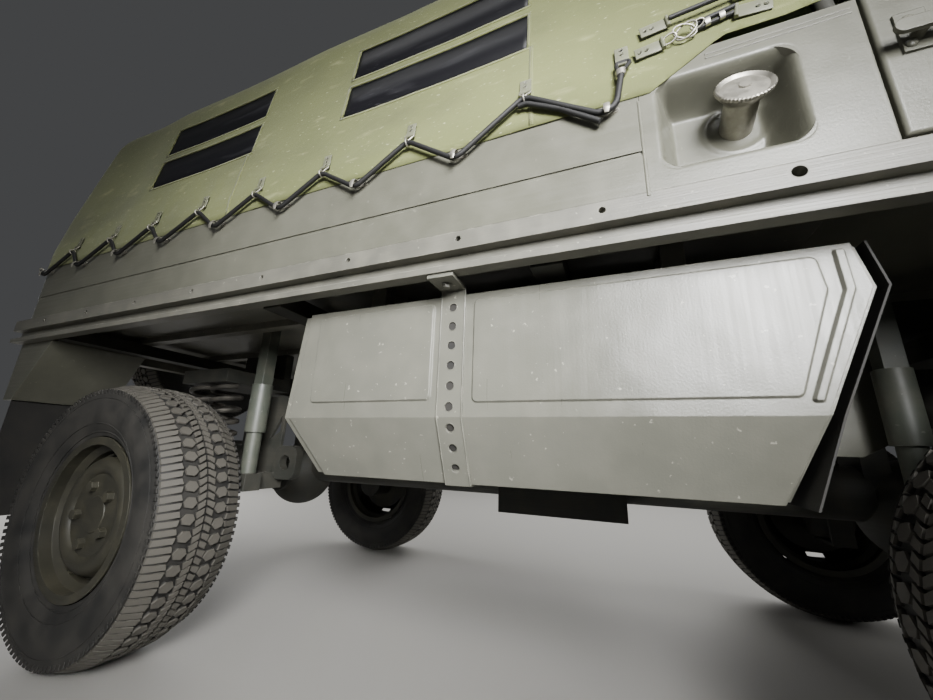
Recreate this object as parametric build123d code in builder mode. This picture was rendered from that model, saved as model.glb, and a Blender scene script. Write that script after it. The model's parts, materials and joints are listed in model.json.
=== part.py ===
from build123d import *
import math
import os

os.makedirs("parts", exist_ok=True)

# Light four-wheel-drive military cargo truck: forward-control cab, steel load bed, laced canvas tilt.
# Millimetres. +X is forward, +Y is left and +Z is up.
# The origin is on the ground, halfway between the axles.

# Whole vehicle
wheelbase = 2200
half_track = 720
half_body = 880
front_end = 2087.5
rear_end = -2087.5
roof_height = 2045
seat_gap = 0.3
shut_gap = 7
running_gap = 0.1

front_axle_x = wheelbase / 2
rear_axle_x = -wheelbase / 2

# Wheels
tyre_radius = 387
tyre_width = 245
widest_radius = 305
crown_half = 92
crown_drop = 6
shoulder_width = 20
shoulder_drop = 28
tread_thickness = 14
carcass_thickness = 15.5
lining_half = 96
lining_drop = 35
bead_shoulder = (101, 240)
bead_width = 20
bead_radius = 205
bead_toe_radius = 228
flange_radius = 222
flange_thickness = 5
rim_half_width = 99
rim_sheet = 6
well_top_half = 72
well_half = 58
well_radius = 188
disc_face = 66
disc_thickness = 6
disc_slot_radius = 171
disc_slot_length = 62
disc_slot_width = 15
dish_foot = 114
dish_crest = 138
dish_outer = 162
dish_rise = 13
dish_seat = (28, 184)
nut_circle_radius = 82.5
nut_count = 5
nut_angle = 40
nut_across = 27
nut_height = 16
hub_cap_radius = 50
drum_radius = 150
drum_depth = 60
stub_radius = 35
stub_length = 45
spare_clearance = 20

# Axles and springs
half_shaft_height = 477
diff_radius = 140
axle_tube_radius = 45
portal_inner = 560
portal_outer = 700
kingpin_y = 600
kingpin_radius = 16
portal_lower_radius = 68
portal_upper_radius = 60
yoke_low = 312
yoke_high = 545
yoke_plate = 12
yoke_half_width = 35
drive_shaft_radius = 22
shaft_end_gap = 5
spring_radius = 58
spring_wire = 9
spring_turns = 6
spring_foot = 534
tower_foot = 822
tower_half_length = 125
tower_riser_y = 290
spring_pitch_x = 124
rear_spring_y = 500
front_spring_y = 400
shock_upper_radius = 32
shock_lower_radius = 24
shock_foot = 510
shock_sleeve = 640
shock_head = 800
shock_stem_half = 20
rear_shock_x = 320
rear_shock_y = 560
front_shock_x = -190
front_shock_y = 400
gusset_y = 450
gusset_foot_half = 25
gusset_thickness = 12
gusset_outline = (
    # distance ahead of the rear axle, height
    (212, 500),
    (326, 500),
    (333, 774),
    (180, 780),
)
gusset_hole = ((268, 618), (318, 650), (318, 708))
lug_rear = 320
lug_front = 420
lug_bottom = 488
lug_top = 600
lug_corner = 30
lug_thickness = 30
lug_hole_radius = 24

# Backbone
backbone_radius = 75
backbone_height = 520
gearbox_rear = -60
gearbox_length = 420
outrigger_xs = (-1505, -480, 220)
tow_beam_radius = 40
hitch_face_x = -1640
hitch_height = 560
hitch_bore_radius = 20
hitch_bore_inset = 30
hitch_plate = 12
hitch_plate_half = 70
hitch_plate_rise = 60
hitch_length = 100
hitch_jaw_half = 45
hitch_jaw_rise = 40
hitch_mouth_depth = 70
hitch_mouth_rise = 22
engine_rear = 960
engine_front = 1500
engine_half_width = 190
engine_bottom = 690
engine_top = 1150
exhaust_x = -150
exhaust_y = 330
exhaust_z = 720
exhaust_radius = 80
exhaust_length = 560
pipe_radius = 25
pipe_bend = 110
tail_pipe_y = 240
tail_pipe_z = 760
outrigger_width = 60

# Load bed
rail_top = 1025
rail_face_bottom = 985
rail_bottom = 941
rail_lip = 14
rail_block = 40
rail_recess = 24
rail_web = 6
rail_rear = -1753
rail_hole_radius = 6
rail_front_hole_radius = 9.5
rail_hole_height = 1008
rail_hole_pitch = 270
rail_hole_first_x = 625
rail_hole_count = 9
deck_thickness = 16
deck_rear = -1700
deck_front = 712
deck_panel_rise = 6
deck_panel_half = 500
deck_panel_margin = 50
stringer_outer_y = 600
rib_width = 36
wall_thickness = 30
wall_top = 1290
wall_corner_radius = 70
locker_inner_y = 560
locker_outer_y = 850
locker_bottom = 729
locker_front_top = -1515
locker_front_bottom = -1677
flap_x = -1690
flap_bottom = 330
seam_x = 429
door_gap_x = 738
swage_height = 1105
swage_depth = 3
swage_width = 8

# Filler recess in the right corner panel
filler_x = 555
filler_z = 1153
filler_width = 205
filler_height = 190
filler_corner = 40
filler_depth = 72
filler_draft = 18
cap_radius = 43
cap_height = 16
cap_neck_radius = 34
cap_boss_radius = 9
cap_boss_height = 2
cap_tilt = 18
cap_x = 585
cap_y = -868
cap_z = 1188

# Rear door
rear_door_half_width = 467
rear_opening_half_width = 474
rear_hinge_lows = (1040, 1160)
hinge_knuckle = 20
hinge_barrel_radius = 9
hinge_pin_radius = 4
carrier_radius = 55

# Cab
nose_rear = 1520
nose_front = 1990
nose_bottom = 690
nose_wall = 25
bulkhead = 16
scuttle_lip = 8
nose_shoulder_z = 1110
scuttle_x = 1660
scuttle_z = 1330
nose_corner_radius = 60
apron_bottom = 600
nose_apron_half = 760
grille_half = 340
grille_bottom = 770
grille_top = 1040
grille_bars = 7
grille_frame = 18
grille_bar_height = 12
grille_bar_depth = 20
lamp_y = 620
lamp_z = 900
lamp_radius = 92
lamp_proud = 12
flasher_half = 35
flasher_bottom = 738
flasher_top = 783
flasher_depth = 30
bumper_half = 800
bumper_bottom = 600
bumper_top = 700
bumper_depth = 50
bumper_wall = 6
bumper_arm_y = 300
tow_eye_radius = 16
arch_rear = 720
arch_wall_bottom = 700
arch_wall_y = 330
arch_wall_thickness = 6
arch_tower_gap = 20
arch_foot = 616
arch_cut_length = 96
arch_cut_rise = 56
cover_half_width = 250
cover_top = 1190
cover_rear = 900
door_rear = 745
door_bottom = 1032
door_thickness = 35
door_edge_radius = 6
door_frame_thickness = 25
door_frame_bar = 40
door_waist = 1325
door_top_drop = 155
door_post = 67
door_hinge_x = 1516.5
door_hinge_y = 893
door_hinge_lows = (1085, 1235)
handle_rear = 750
handle_length = 180
handle_height = 22
handle_thickness = 6
handle_z = 1187
handle_reach = 28
handle_post_radius = 8
handle_foot = 34
handle_foot_bottom = 1163
handle_foot_height = 70
handle_foot_thickness = 4
mirror_x = 1600
mirror_z = 1250
mirror_reach = 130
mirror_arm_radius = 8
mirror_arm_bend = 40
mirror_head_height = 330
mirror_head_lift = 90
mirror_head_inner = 90
mirror_head_outer = 60
mirror_head_thickness = 24
mirror_head_corner = 18
seat_y = 540
seat_half = 240
seat_rear = 960
seat_front = 1340
seat_base_top = 1120
seat_top = 1200
seat_overhang = 20
seat_back_top = 1700
seat_back_thickness = 80
steering_tilt = 35
steering_x = 1400
steering_z = 1380
steering_radius = 190
steering_grip_radius = 13
spoke_width = 26
spoke_thickness = 12
column_radius = 24
spindle_radius = 10
hub_radius = 30
hub_plate_radius = 36
hub_rise = 8
hub_depth = 40
dash_rear = 1590
dash_front = 1651
dash_bottom = 1180
dash_top = 1290
bench_inner_y = 540
bench_outer_y = 820
bench_rear = -1600
bench_front = 600
bench_top = 1430
bench_thickness = 25
bench_leg = 30
bench_leg_inset = 20
screen_angle = 13.84
screen_head_drop = 90
screen_thickness = 30
screen_bar = 62
screen_corner = 150
glass_thickness = 5

# Tilt
canvas = 5
hem_height = 1225
knee_height = 1296
eave_half = 820
eave_drop = 230
eave_radius = 180
roof_slope = 13
tilt_rear_lean_z = 1440
tilt_rear_lean = 100
tilt_header_drop = 100
tilt_door_rear = 700
tilt_door_drop = 139
hem_steps = (
    # x, rise above the hem
    (448, 0),
    (515, 43),
    (572, 81),
    (653, 77),
    (tilt_door_rear, 83),
)
hoop_radius = 12
hoop_inset = 22
hoop_bend = 150
hoop_xs = (-1525, -1160, -460, 270, 712)
window_shares = (
    # foot and head of each row of windows, as shares of the side's height above the knee
    (0.326, 0.563),
    (0.632, 0.881),
)
tilt_window_xs = ((-1130, -633), (-284, 225))
window_lap = 8
window_film = 2
rear_window_half = 300
cord_radius = 5.5
horn_radius = 4.5
ring_wire = 2.5
tab_width = 24
tab_height = 34
tab_thickness = 3
tab_drop = 6

# Fuel tank
tank_outer_y = 800
tank_inner_y = 570
tank_top = 923
tank_crease = 665
tank_bottom = 537
tank_undercut = 60
tank_rear_top = -350
tank_rear_crease = -375
tank_rear_bottom = -300
tank_front_top = 698
tank_front_point = 712
tank_point_z = 850
tank_front_crease = 630
tank_front_bottom = 580
hanger_rear = -200
hanger_front = 450
strap_x = 46
strap_width = 56
strap_thickness = 4
strap_hole_radius = 9
strap_hole_pitch = 42
strap_holes_upper = 6
strap_holes_lower = 3
strap_first_hole = 20
tank_lip_inset = 5
tank_lip_thickness = 3
tank_rear_lip = 20
tank_front_lip = 5
panel_rise = 4
panel_corner = 12
panel_taper = 40
tank_panels = [
    # corners of each pressed panel: x, height
    [(-317, 698), (2, 698), (2, 910), (-317, 910)],
    [(92, 692), (606, 690), (661, 851), (655, 908), (92, 908)],
]
bead_rise = 6
bead_corner = 5
bead_taper = 30
tank_bead = [
    # x, height
    (612, 683),
    (628, 683),
    (692, 848),
    (690, 915),
    (674, 915),
    (676, 848),
]
guard_gap = 16
guard_thickness = 3
guard_spacers = ((700, 730), (870, 900))
guard_spacer_y = (-720, -650)

spare_height = rail_top + spare_clearance + carrier_radius
eave_height = roof_height - eave_drop
side_rise = eave_height - knee_height
window_rows = [(knee_height + low * side_rise, knee_height + high * side_rise) for low, high in window_shares]
tilt_header_z = roof_height - tilt_header_drop
tilt_door_top = roof_height - tilt_door_drop
door_top = roof_height - door_top_drop
hem_half = half_body + seat_gap + canvas
tilt_rear = deck_rear - seat_gap - canvas
screen_lean = math.tan(math.radians(screen_angle))
screen_rise = roof_height - screen_head_drop - scuttle_z
screen_slope = screen_rise * screen_lean
door_top_front = scuttle_x - (door_top - scuttle_z) * screen_lean - door_post
tilt_front = scuttle_x - (tilt_header_z - scuttle_z) * screen_lean + seat_gap + canvas
rail_front = nose_rear - seat_gap
spring_places = [
    # axle x, spring y, shock absorber's x from the axle, its y
    (rear_axle_x, rear_spring_y, rear_shock_x, rear_shock_y),
    (front_axle_x, front_spring_y, front_shock_x, front_shock_y),
]
lean = math.degrees(math.atan2(hem_half - eave_half, eave_height - knee_height))
lean_slope = math.tan(math.radians(lean))


def keep(part, label):
    part.label = label
    export_step(part, f"parts/{label}.step")


def block(x_range, y_range, z_range, mode=Mode.ADD):
    """A plain block between two corners."""
    ranges = (x_range, y_range, z_range)
    size = [abs(end - start) for start, end in ranges]
    centre = tuple((start + end) / 2 for start, end in ranges)
    with Locations(centre):
        Box(*size, mode=mode)


def side_pair(y_start, y_end):
    """The same distances from the middle plane, to the right and to the left."""
    return (-y_start, -y_end), (y_start, y_end)


# Tyre: hollow carcass, its beads seated inside the rim flanges
with BuildPart() as tyre:
    with BuildSketch(Plane.YZ):
        with BuildLine():
            bead_half = rim_half_width - flange_thickness - seat_gap
            bead_heel = (bead_half - bead_width, bead_radius + seat_gap)
            bead_toe = (bead_half - bead_width, bead_toe_radius)
            crown = TangentArc((0, tyre_radius), (crown_half, tyre_radius - crown_drop), tangent=(1, 0))
            shoulder = ThreePointArc(
                crown @ 1,
                (crown_half + 0.7 * shoulder_width, tyre_radius - shoulder_drop / 2),
                (crown_half + shoulder_width, tyre_radius - shoulder_drop),
            )
            TangentArc((tyre_width / 2, widest_radius), shoulder @ 1, tangent=(0, 1))
            wall = TangentArc((tyre_width / 2, widest_radius), bead_shoulder, tangent=(0, -1))
            Polyline(wall @ 1, (bead_half, flange_radius), (bead_half, bead_radius + seat_gap), bead_heel, bead_toe)
            lining = ThreePointArc(
                bead_toe,
                (tyre_width / 2 - carcass_thickness, widest_radius - 5),
                (lining_half, tyre_radius - lining_drop),
            )
            Polyline(
                lining @ 1,
                (crown_half - 8, tyre_radius - tread_thickness - 5),
                (0, tyre_radius - tread_thickness),
            )
            mirror(about=Plane.YZ)
        make_face()
    revolve(axis=Axis.Y)

# Rim: drop-centre barrel, dished disc with four slots and wheel nuts
with BuildPart() as rim:
    with BuildSketch(Plane.YZ):
        with BuildLine():
            Polyline(
                (rim_half_width, flange_radius),
                (rim_half_width - flange_thickness, flange_radius),
                (rim_half_width - flange_thickness, bead_radius),
                (well_top_half, bead_radius),
                (well_half, well_radius),
                (-well_half, well_radius),
                (-well_top_half, bead_radius),
                (flange_thickness - rim_half_width, bead_radius),
                (flange_thickness - rim_half_width, flange_radius),
                (-rim_half_width, flange_radius),
                (-rim_half_width, bead_radius - rim_sheet),
                (rim_sheet / 2 - well_top_half, bead_radius - rim_sheet),
                (rim_sheet / 2 - well_half, well_radius - rim_sheet),
                (well_half - rim_sheet / 2, well_radius - rim_sheet),
                (well_top_half - rim_sheet / 2, bead_radius - rim_sheet),
                (rim_half_width, bead_radius - rim_sheet),
                close=True,
            )
        make_face()
    revolve(axis=Axis.Y)
    with BuildSketch(Plane.YZ):
        with BuildLine():
            dish_out = ThreePointArc(
                (disc_face, dish_foot),
                (disc_face + dish_rise, dish_crest),
                (disc_face - 4, dish_outer),
            )
            dish_in = ThreePointArc(
                (disc_face - 4 - 8, dish_outer - 4),
                (disc_face + dish_rise - 8, dish_crest),
                (disc_face - disc_thickness, dish_foot + 4),
            )
            Polyline(dish_out @ 1, dish_seat, (dish_seat[0] - 8, dish_seat[1]), dish_in @ 0)
            Polyline(
                dish_in @ 1,
                (disc_face - disc_thickness, 0),
                (disc_face + 3, 0),
                (disc_face + 3, hub_cap_radius),
                (disc_face, hub_cap_radius + 2),
                dish_out @ 0,
            )
        make_face()
    revolve(axis=Axis.Y)
    outside = Plane(origin=(0, disc_face, 0), x_dir=(-1, 0, 0), z_dir=(0, 1, 0))
    with BuildSketch(outside.offset(-55)):
        with PolarLocations(disc_slot_radius, 4):
            Rectangle(disc_slot_width, disc_slot_length)
    extrude(amount=80, mode=Mode.SUBTRACT)
    with BuildSketch(outside):
        with PolarLocations(nut_circle_radius, nut_count, start_angle=nut_angle):
            RegularPolygon(nut_across / 2, 6, major_radius=False)
    extrude(amount=nut_height)

# Road wheels carry the brake drum, bored for the stub axle; the spare is the bare rim
drum_back = Plane.XZ.offset(-(disc_face - disc_thickness - drum_depth))
with BuildPart() as hub_rim:
    add(rim.part)
    with BuildSketch(drum_back):
        Circle(drum_radius)
    extrude(amount=-drum_depth)
    with BuildSketch(drum_back):
        Circle(stub_radius + running_gap)
    extrude(amount=-(stub_length + 5), mode=Mode.SUBTRACT)

spare_x = rear_end + tyre_width / 2
wheel_places = [
    # corner, place, rim
    ("rear_right", Location((rear_axle_x, -half_track, tyre_radius), (0, 0, 180)), hub_rim),
    ("rear_left", Location((rear_axle_x, half_track, tyre_radius)), hub_rim),
    ("front_right", Location((front_axle_x, -half_track, tyre_radius), (0, 0, 180)), hub_rim),
    ("front_left", Location((front_axle_x, half_track, tyre_radius)), hub_rim),
    ("spare", Location((spare_x, 0, spare_height), (0, 0, 90)), rim),
]
for corner, place, wheel_rim in wheel_places:
    keep(tyre.part.moved(place), f"tyre_{corner}")
    keep(wheel_rim.part.moved(place), f"rim_{corner}")

# Backbone: central tube, gearbox, both differential housings and the tow beam
flange_y = diff_radius + 5
gearbox_half = 130
gearbox_bottom = backbone_height - 120
gearbox_top = backbone_height + 115
with BuildPart() as backbone:
    with BuildSketch(Plane.YZ.offset(rear_axle_x + diff_radius - 20)):
        with Locations((0, backbone_height)):
            Circle(backbone_radius)
    extrude(amount=wheelbase - 2 * diff_radius + 40)
    block(
        (gearbox_rear, gearbox_rear + gearbox_length),
        (-gearbox_half, gearbox_half),
        (gearbox_bottom, gearbox_top),
    )
    for x in (rear_axle_x, front_axle_x):
        with Locations((x, 0, half_shaft_height)):
            Sphere(diff_radius)
            Cylinder(axle_tube_radius + 25, 2 * flange_y, rotation=(90, 0, 0))
    with BuildSketch(Plane.YZ.offset(hitch_face_x)):
        with Locations((0, hitch_height)):
            Circle(tow_beam_radius)
    extrude(amount=rear_axle_x - 100 - hitch_face_x)
    # Engine mount
    block((engine_rear + 10, engine_rear + 70), (-60, 60), (backbone_height, engine_bottom))
keep(backbone.part, "backbone")

# Crossmembers: box beams under the bed, each on a post that sits saddle-fashion on the backbone
post_half = 60
rear_post_half = 40
with BuildPart() as crossmembers:
    for x in outrigger_xs:
        block(
            (x, x + outrigger_width),
            (-half_body + rail_block, half_body - rail_block),
            (rail_bottom, rail_face_bottom),
        )
    rear_post_x, middle_post_x, front_post_x = outrigger_xs
    for x, half_width, foot, radius in (
        # x, half width, height and radius of the tube that the post stands on
        (rear_post_x, rear_post_half, hitch_height, tow_beam_radius),
        (middle_post_x, post_half, backbone_height, backbone_radius),
    ):
        block((x, x + outrigger_width), (-half_width, half_width), (foot, rail_bottom))
        with BuildSketch(Plane.YZ.offset(x - 1)):
            with Locations((0, foot)):
                Circle(radius + seat_gap)
        extrude(amount=outrigger_width + 2, mode=Mode.SUBTRACT)
    block(
        (front_post_x, front_post_x + outrigger_width),
        (-post_half, post_half),
        (gearbox_top + seat_gap, rail_bottom),
    )
keep(crossmembers.part, "crossmembers")

# Spring towers, which also carry the rear of the bed on the differential housing
tower_thickness = 36
tower_bridge_half = 40
with BuildPart() as spring_towers:
    for x, spring_y, shock_x, shock_y in spring_places:
        tower_xs = (x - tower_half_length, x + tower_half_length)
        for near, far in side_pair(tower_riser_y - tower_thickness / 2, spring_y + spring_radius):
            block(tower_xs, (near, far), (tower_foot, tower_foot + 50))
            block(tower_xs, (near, near + math.copysign(tower_thickness, near)), (tower_foot, rail_face_bottom))
    bridge_xs = (rear_axle_x - tower_bridge_half, rear_axle_x + tower_bridge_half)
    block(bridge_xs, (-tower_riser_y, tower_riser_y), (tower_foot, tower_foot + 50))
    block(bridge_xs, (-tower_bridge_half, tower_bridge_half), (half_shaft_height + diff_radius / 2, tower_foot))
    with Locations((rear_axle_x, 0, half_shaft_height)):
        Sphere(diff_radius + seat_gap, mode=Mode.SUBTRACT)
keep(spring_towers.part, "spring_towers")

with BuildPart() as engine_block:
    block(
        (engine_rear, engine_front),
        (-engine_half_width, engine_half_width),
        (engine_bottom + seat_gap, engine_top),
    )
    chamfer(engine_block.edges().filter_by(Axis.X).group_by(Axis.Z)[-1], 60)
keep(engine_block.part, "engine_block")

# Swing half-axles with their portal housings; the front ones end in the steering yokes
with BuildPart() as rear_axle:
    for side in (-1, 1):
        with Locations((rear_axle_x, side * (flange_y + seat_gap + portal_inner + 20) / 2, half_shaft_height)):
            Cylinder(axle_tube_radius, portal_inner + 20 - flange_y - seat_gap, rotation=(90, 0, 0))
        near, far = side * portal_inner, side * portal_outer
        with Locations((rear_axle_x, (near + far) / 2, tyre_radius)):
            Cylinder(portal_lower_radius, portal_outer - portal_inner, rotation=(90, 0, 0))
        with Locations((rear_axle_x, (near + far) / 2, half_shaft_height)):
            Cylinder(portal_upper_radius, portal_outer - portal_inner, rotation=(90, 0, 0))
        with Locations((rear_axle_x, side * (portal_outer + half_track + stub_length) / 2, tyre_radius)):
            Cylinder(stub_radius, half_track + stub_length - portal_outer, rotation=(90, 0, 0))
        block(
            (rear_axle_x - tower_half_length, rear_axle_x + tower_half_length),
            (side * (rear_spring_y - spring_radius), side * (rear_spring_y + spring_radius)),
            (half_shaft_height, spring_foot - seat_gap),
        )
        # Radius arm that carries the shock absorber's lower eye
        block(
            (rear_axle_x + 30, rear_axle_x + rear_shock_x + 30),
            (side * (rear_shock_y - 30), side * (rear_shock_y + 30)),
            (half_shaft_height - 20, shock_foot - seat_gap),
        )
        # Gusset with a three-cornered hole, and ahead of it a cast lug
        block(
            (rear_axle_x + gusset_outline[0][0], rear_axle_x + gusset_outline[1][0]),
            (side * (gusset_y - gusset_foot_half), side * rear_shock_y),
            (half_shaft_height - 20, shock_foot - seat_gap),
        )
        with BuildSketch(Plane.XZ.offset(-side * gusset_y)):
            with BuildLine():
                Polyline([(rear_axle_x + ahead, z) for ahead, z in gusset_outline], close=True)
            make_face()
            with BuildLine():
                Polyline([(rear_axle_x + ahead, z) for ahead, z in gusset_hole], close=True)
            make_face(mode=Mode.SUBTRACT)
        extrude(amount=gusset_thickness / 2, both=True)
        lug_middle = (rear_axle_x + (lug_rear + lug_front) / 2, (lug_bottom + lug_top) / 2)
        with BuildSketch(Plane.XZ.offset(-side * gusset_y)):
            with Locations(lug_middle):
                RectangleRounded(lug_front - lug_rear, lug_top - lug_bottom, lug_corner)
                Circle(lug_hole_radius, mode=Mode.SUBTRACT)
        extrude(amount=lug_thickness / 2, both=True)
keep(rear_axle.part, "rear_axle")

yoke_inner = kingpin_y - 130
with BuildPart() as front_axle:
    for side in (-1, 1):
        with Locations((front_axle_x, side * (flange_y + seat_gap + yoke_inner + 5) / 2, half_shaft_height)):
            Cylinder(axle_tube_radius, yoke_inner + 5 - flange_y - seat_gap, rotation=(90, 0, 0))
        block(
            (front_axle_x - yoke_half_width, front_axle_x + yoke_half_width),
            (side * yoke_inner, side * (yoke_inner + yoke_plate)),
            (yoke_low - yoke_plate, yoke_high + yoke_plate),
        )
        for low in (yoke_low - yoke_plate, yoke_high):
            block(
                (front_axle_x - yoke_half_width, front_axle_x + yoke_half_width),
                (side * yoke_inner, side * (kingpin_y + 30)),
                (low, low + yoke_plate),
            )
        with Locations((front_axle_x, side * kingpin_y, (yoke_low + yoke_high) / 2)):
            Cylinder(kingpin_radius + running_gap, yoke_high - yoke_low + 4 * yoke_plate, mode=Mode.SUBTRACT)
        drive_end = kingpin_y - portal_upper_radius - shaft_end_gap
        with Locations((front_axle_x, side * (yoke_inner + drive_end) / 2, half_shaft_height)):
            Cylinder(drive_shaft_radius, drive_end - yoke_inner, rotation=(90, 0, 0))
        block(
            (front_axle_x - tower_half_length, front_axle_x + tower_half_length),
            (side * (front_spring_y - spring_radius), side * (front_spring_y + spring_radius)),
            (half_shaft_height, spring_foot - seat_gap),
        )
        block(
            (front_axle_x + front_shock_x - 30, front_axle_x),
            (side * (front_shock_y - 30), side * (front_shock_y + 30)),
            (half_shaft_height - 20, shock_foot - seat_gap),
        )
keep(front_axle.part, "front_axle")

# Steering knuckle: portal housing round the kingpin, with the stub axle for the wheel
with BuildPart() as knuckle:
    for height, radius in ((tyre_radius, portal_lower_radius), (half_shaft_height, portal_upper_radius)):
        with Locations((0, (kingpin_y + portal_outer) / 2, height)):
            Cylinder(radius, portal_outer - kingpin_y, rotation=(90, 0, 0))
    knuckle_foot = tyre_radius - portal_lower_radius
    knuckle_head = half_shaft_height + portal_upper_radius
    with Locations((0, kingpin_y, (knuckle_foot + knuckle_head) / 2)):
        Cylinder(portal_upper_radius, knuckle_head - knuckle_foot)
        Cylinder(kingpin_radius, yoke_high - yoke_low + 2 * yoke_plate)
    with Locations((0, (portal_outer + half_track + stub_length) / 2, tyre_radius)):
        Cylinder(stub_radius, half_track + stub_length - portal_outer, rotation=(90, 0, 0))
keep(knuckle.part.moved(Location((front_axle_x, 0, 0))), "knuckle_left")
keep(knuckle.part.moved(Location((front_axle_x, 0, 0), (0, 0, 180))), "knuckle_right")

# Coil springs: a pair on each swing axle, wound from six-sided bar, each end closed to a flat ring
coil_radius = spring_radius - spring_wire
coil_half = spring_wire * math.cos(math.radians(30))
coil_rise = tower_foot - seat_gap - spring_foot - 2 * coil_half
with BuildPart() as spring:
    with BuildLine() as coil_path:
        Helix(pitch=coil_rise / spring_turns, height=coil_rise, radius=coil_radius)
    with BuildSketch(Plane(origin=coil_path.line @ 0, x_dir=(1, 0, 0), z_dir=coil_path.line % 0)):
        RegularPolygon(spring_wire, 6)
    sweep(path=coil_path.line, is_frenet=True)
    for height in (0, coil_rise):
        with BuildSketch(Plane.XZ):
            with Locations((coil_radius, height)):
                RegularPolygon(spring_wire, 6)
        revolve(axis=Axis.Z)
with BuildPart() as coil_springs:
    for x, spring_y, shock_x, shock_y in spring_places:
        for side in (-1, 1):
            for shift in (-spring_pitch_x / 2, spring_pitch_x / 2):
                add(spring.part.moved(Location((x + shift, side * spring_y, spring_foot + coil_half))))
keep(coil_springs.part, "coil_springs")

with BuildPart() as shock_absorbers:
    for x, spring_y, shock_x, shock_y in spring_places:
        for side in (-1, 1):
            with Locations((x + shock_x, side * shock_y, (shock_foot + shock_sleeve) / 2)):
                Cylinder(shock_lower_radius, shock_sleeve - shock_foot)
            with Locations((x + shock_x, side * shock_y, (shock_sleeve + shock_head) / 2)):
                Cylinder(shock_upper_radius, shock_head - shock_sleeve)
            block(
                (x + shock_x - shock_stem_half, x + shock_x + shock_stem_half),
                (side * (shock_y - shock_stem_half), side * (shock_y + shock_stem_half)),
                (shock_head, rail_top - deck_thickness - seat_gap),
            )
keep(shock_absorbers.part, "shock_absorbers")

# Cargo floor: deck on stringers between two outward-facing side rails, closed by a rear beam
rail_outline = [
    # distance from the middle plane, height
    (half_body, rail_top),
    (half_body - rail_block, rail_top),
    (half_body - rail_block, rail_face_bottom),
    (half_body - rail_recess - rail_web, rail_face_bottom),
    (half_body - rail_recess - rail_web, rail_bottom),
    (half_body, rail_bottom),
    (half_body, rail_bottom + rail_lip),
    (half_body - rail_recess, rail_bottom + rail_lip),
    (half_body - rail_recess, rail_face_bottom),
    (half_body, rail_face_bottom),
]
rail_inner = half_body - rail_block
deck_bottom = rail_top - deck_thickness
rail_hole_xs = [rail_hole_first_x - index * rail_hole_pitch for index in range(rail_hole_count)]
with BuildPart() as cargo_floor:
    with BuildSketch(Plane.YZ.offset(rail_rear)):
        for side in (-1, 1):
            with BuildLine():
                Polyline([(side * y, z) for y, z in rail_outline], close=True)
            make_face()
    extrude(amount=rail_front - rail_rear)
    block((deck_rear, deck_front), (-rail_inner, rail_inner), (deck_bottom, rail_top))
    block(
        (deck_rear + deck_panel_margin, deck_front - deck_panel_margin),
        (-deck_panel_half, deck_panel_half),
        (rail_top, rail_top + deck_panel_rise),
    )
    for y in (-stringer_outer_y, -tower_riser_y, tower_riser_y, stringer_outer_y):
        block((deck_rear, deck_front), (y - rib_width / 2, y + rib_width / 2), (rail_face_bottom, deck_bottom))
    block((rail_rear, deck_rear), (-rail_inner - 5, rail_inner + 5), (rail_bottom, rail_top))
    for side in (-1, 1):
        for x in rail_hole_xs:
            hole_radius = rail_front_hole_radius if x == rail_hole_first_x else rail_hole_radius
            with Locations((x, side * (half_body - rail_block / 2), rail_hole_height)):
                Cylinder(hole_radius, rail_block, rotation=(90, 0, 0), mode=Mode.SUBTRACT)
keep(cargo_floor.part, "cargo_floor")

# Side walls: each runs round its rear corner to the rear door's opening
corner_y = half_body - wall_corner_radius
corner_x = deck_rear + wall_corner_radius
arc_point = wall_corner_radius * math.cos(math.radians(45))
inner_corner = wall_corner_radius - wall_thickness
inner_arc_point = inner_corner * math.cos(math.radians(45))
with BuildPart() as side_wall_left:
    with BuildSketch(Plane.XY.offset(rail_top)):
        with BuildLine():
            Polyline(
                (deck_rear, corner_y),
                (deck_rear, rear_opening_half_width),
                (deck_rear + wall_thickness, rear_opening_half_width),
                (deck_rear + wall_thickness, corner_y),
            )
            ThreePointArc(
                (deck_rear + wall_thickness, corner_y),
                (corner_x - inner_arc_point, corner_y + inner_arc_point),
                (corner_x, half_body - wall_thickness),
            )
            Polyline(
                (corner_x, half_body - wall_thickness),
                (seam_x - seat_gap, half_body - wall_thickness),
                (seam_x - seat_gap, half_body),
                (corner_x, half_body),
            )
            ThreePointArc(
                (corner_x, half_body),
                (corner_x - arc_point, corner_y + arc_point),
                (deck_rear, corner_y),
            )
        make_face()
    extrude(amount=wall_top - rail_top)
    block(
        (corner_x, seam_x),
        (half_body - swage_depth, half_body),
        (swage_height - swage_width / 2, swage_height + swage_width / 2),
        mode=Mode.SUBTRACT,
    )
with BuildPart() as side_wall_right:
    mirror(side_wall_left.part, about=Plane.XZ)
keep(side_wall_right.part, "side_wall_right")


def hinge(fixed, x, y, low, leaf_x, leaf_y):
    """One half of a three-knuckle hinge on a vertical pin, inside the open part block."""
    knuckles = ((0, 1), (2, 3)) if fixed else ((1, 2),)
    for first, last in knuckles:
        gap = 0 if fixed else running_gap * 3
        bottom = low + first * hinge_knuckle + gap
        top = low + last * hinge_knuckle - gap
        with Locations((x, y, (bottom + top) / 2)):
            Cylinder(hinge_barrel_radius, top - bottom)
        block(leaf_x, leaf_y, (bottom, top))
    if fixed:
        with Locations((x, y, low + 1.5 * hinge_knuckle)):
            Cylinder(hinge_pin_radius, 3 * hinge_knuckle)
    else:
        with Locations((x, y, low + 1.5 * hinge_knuckle)):
            Cylinder(hinge_pin_radius + running_gap, 3 * hinge_knuckle, mode=Mode.SUBTRACT)


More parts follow.
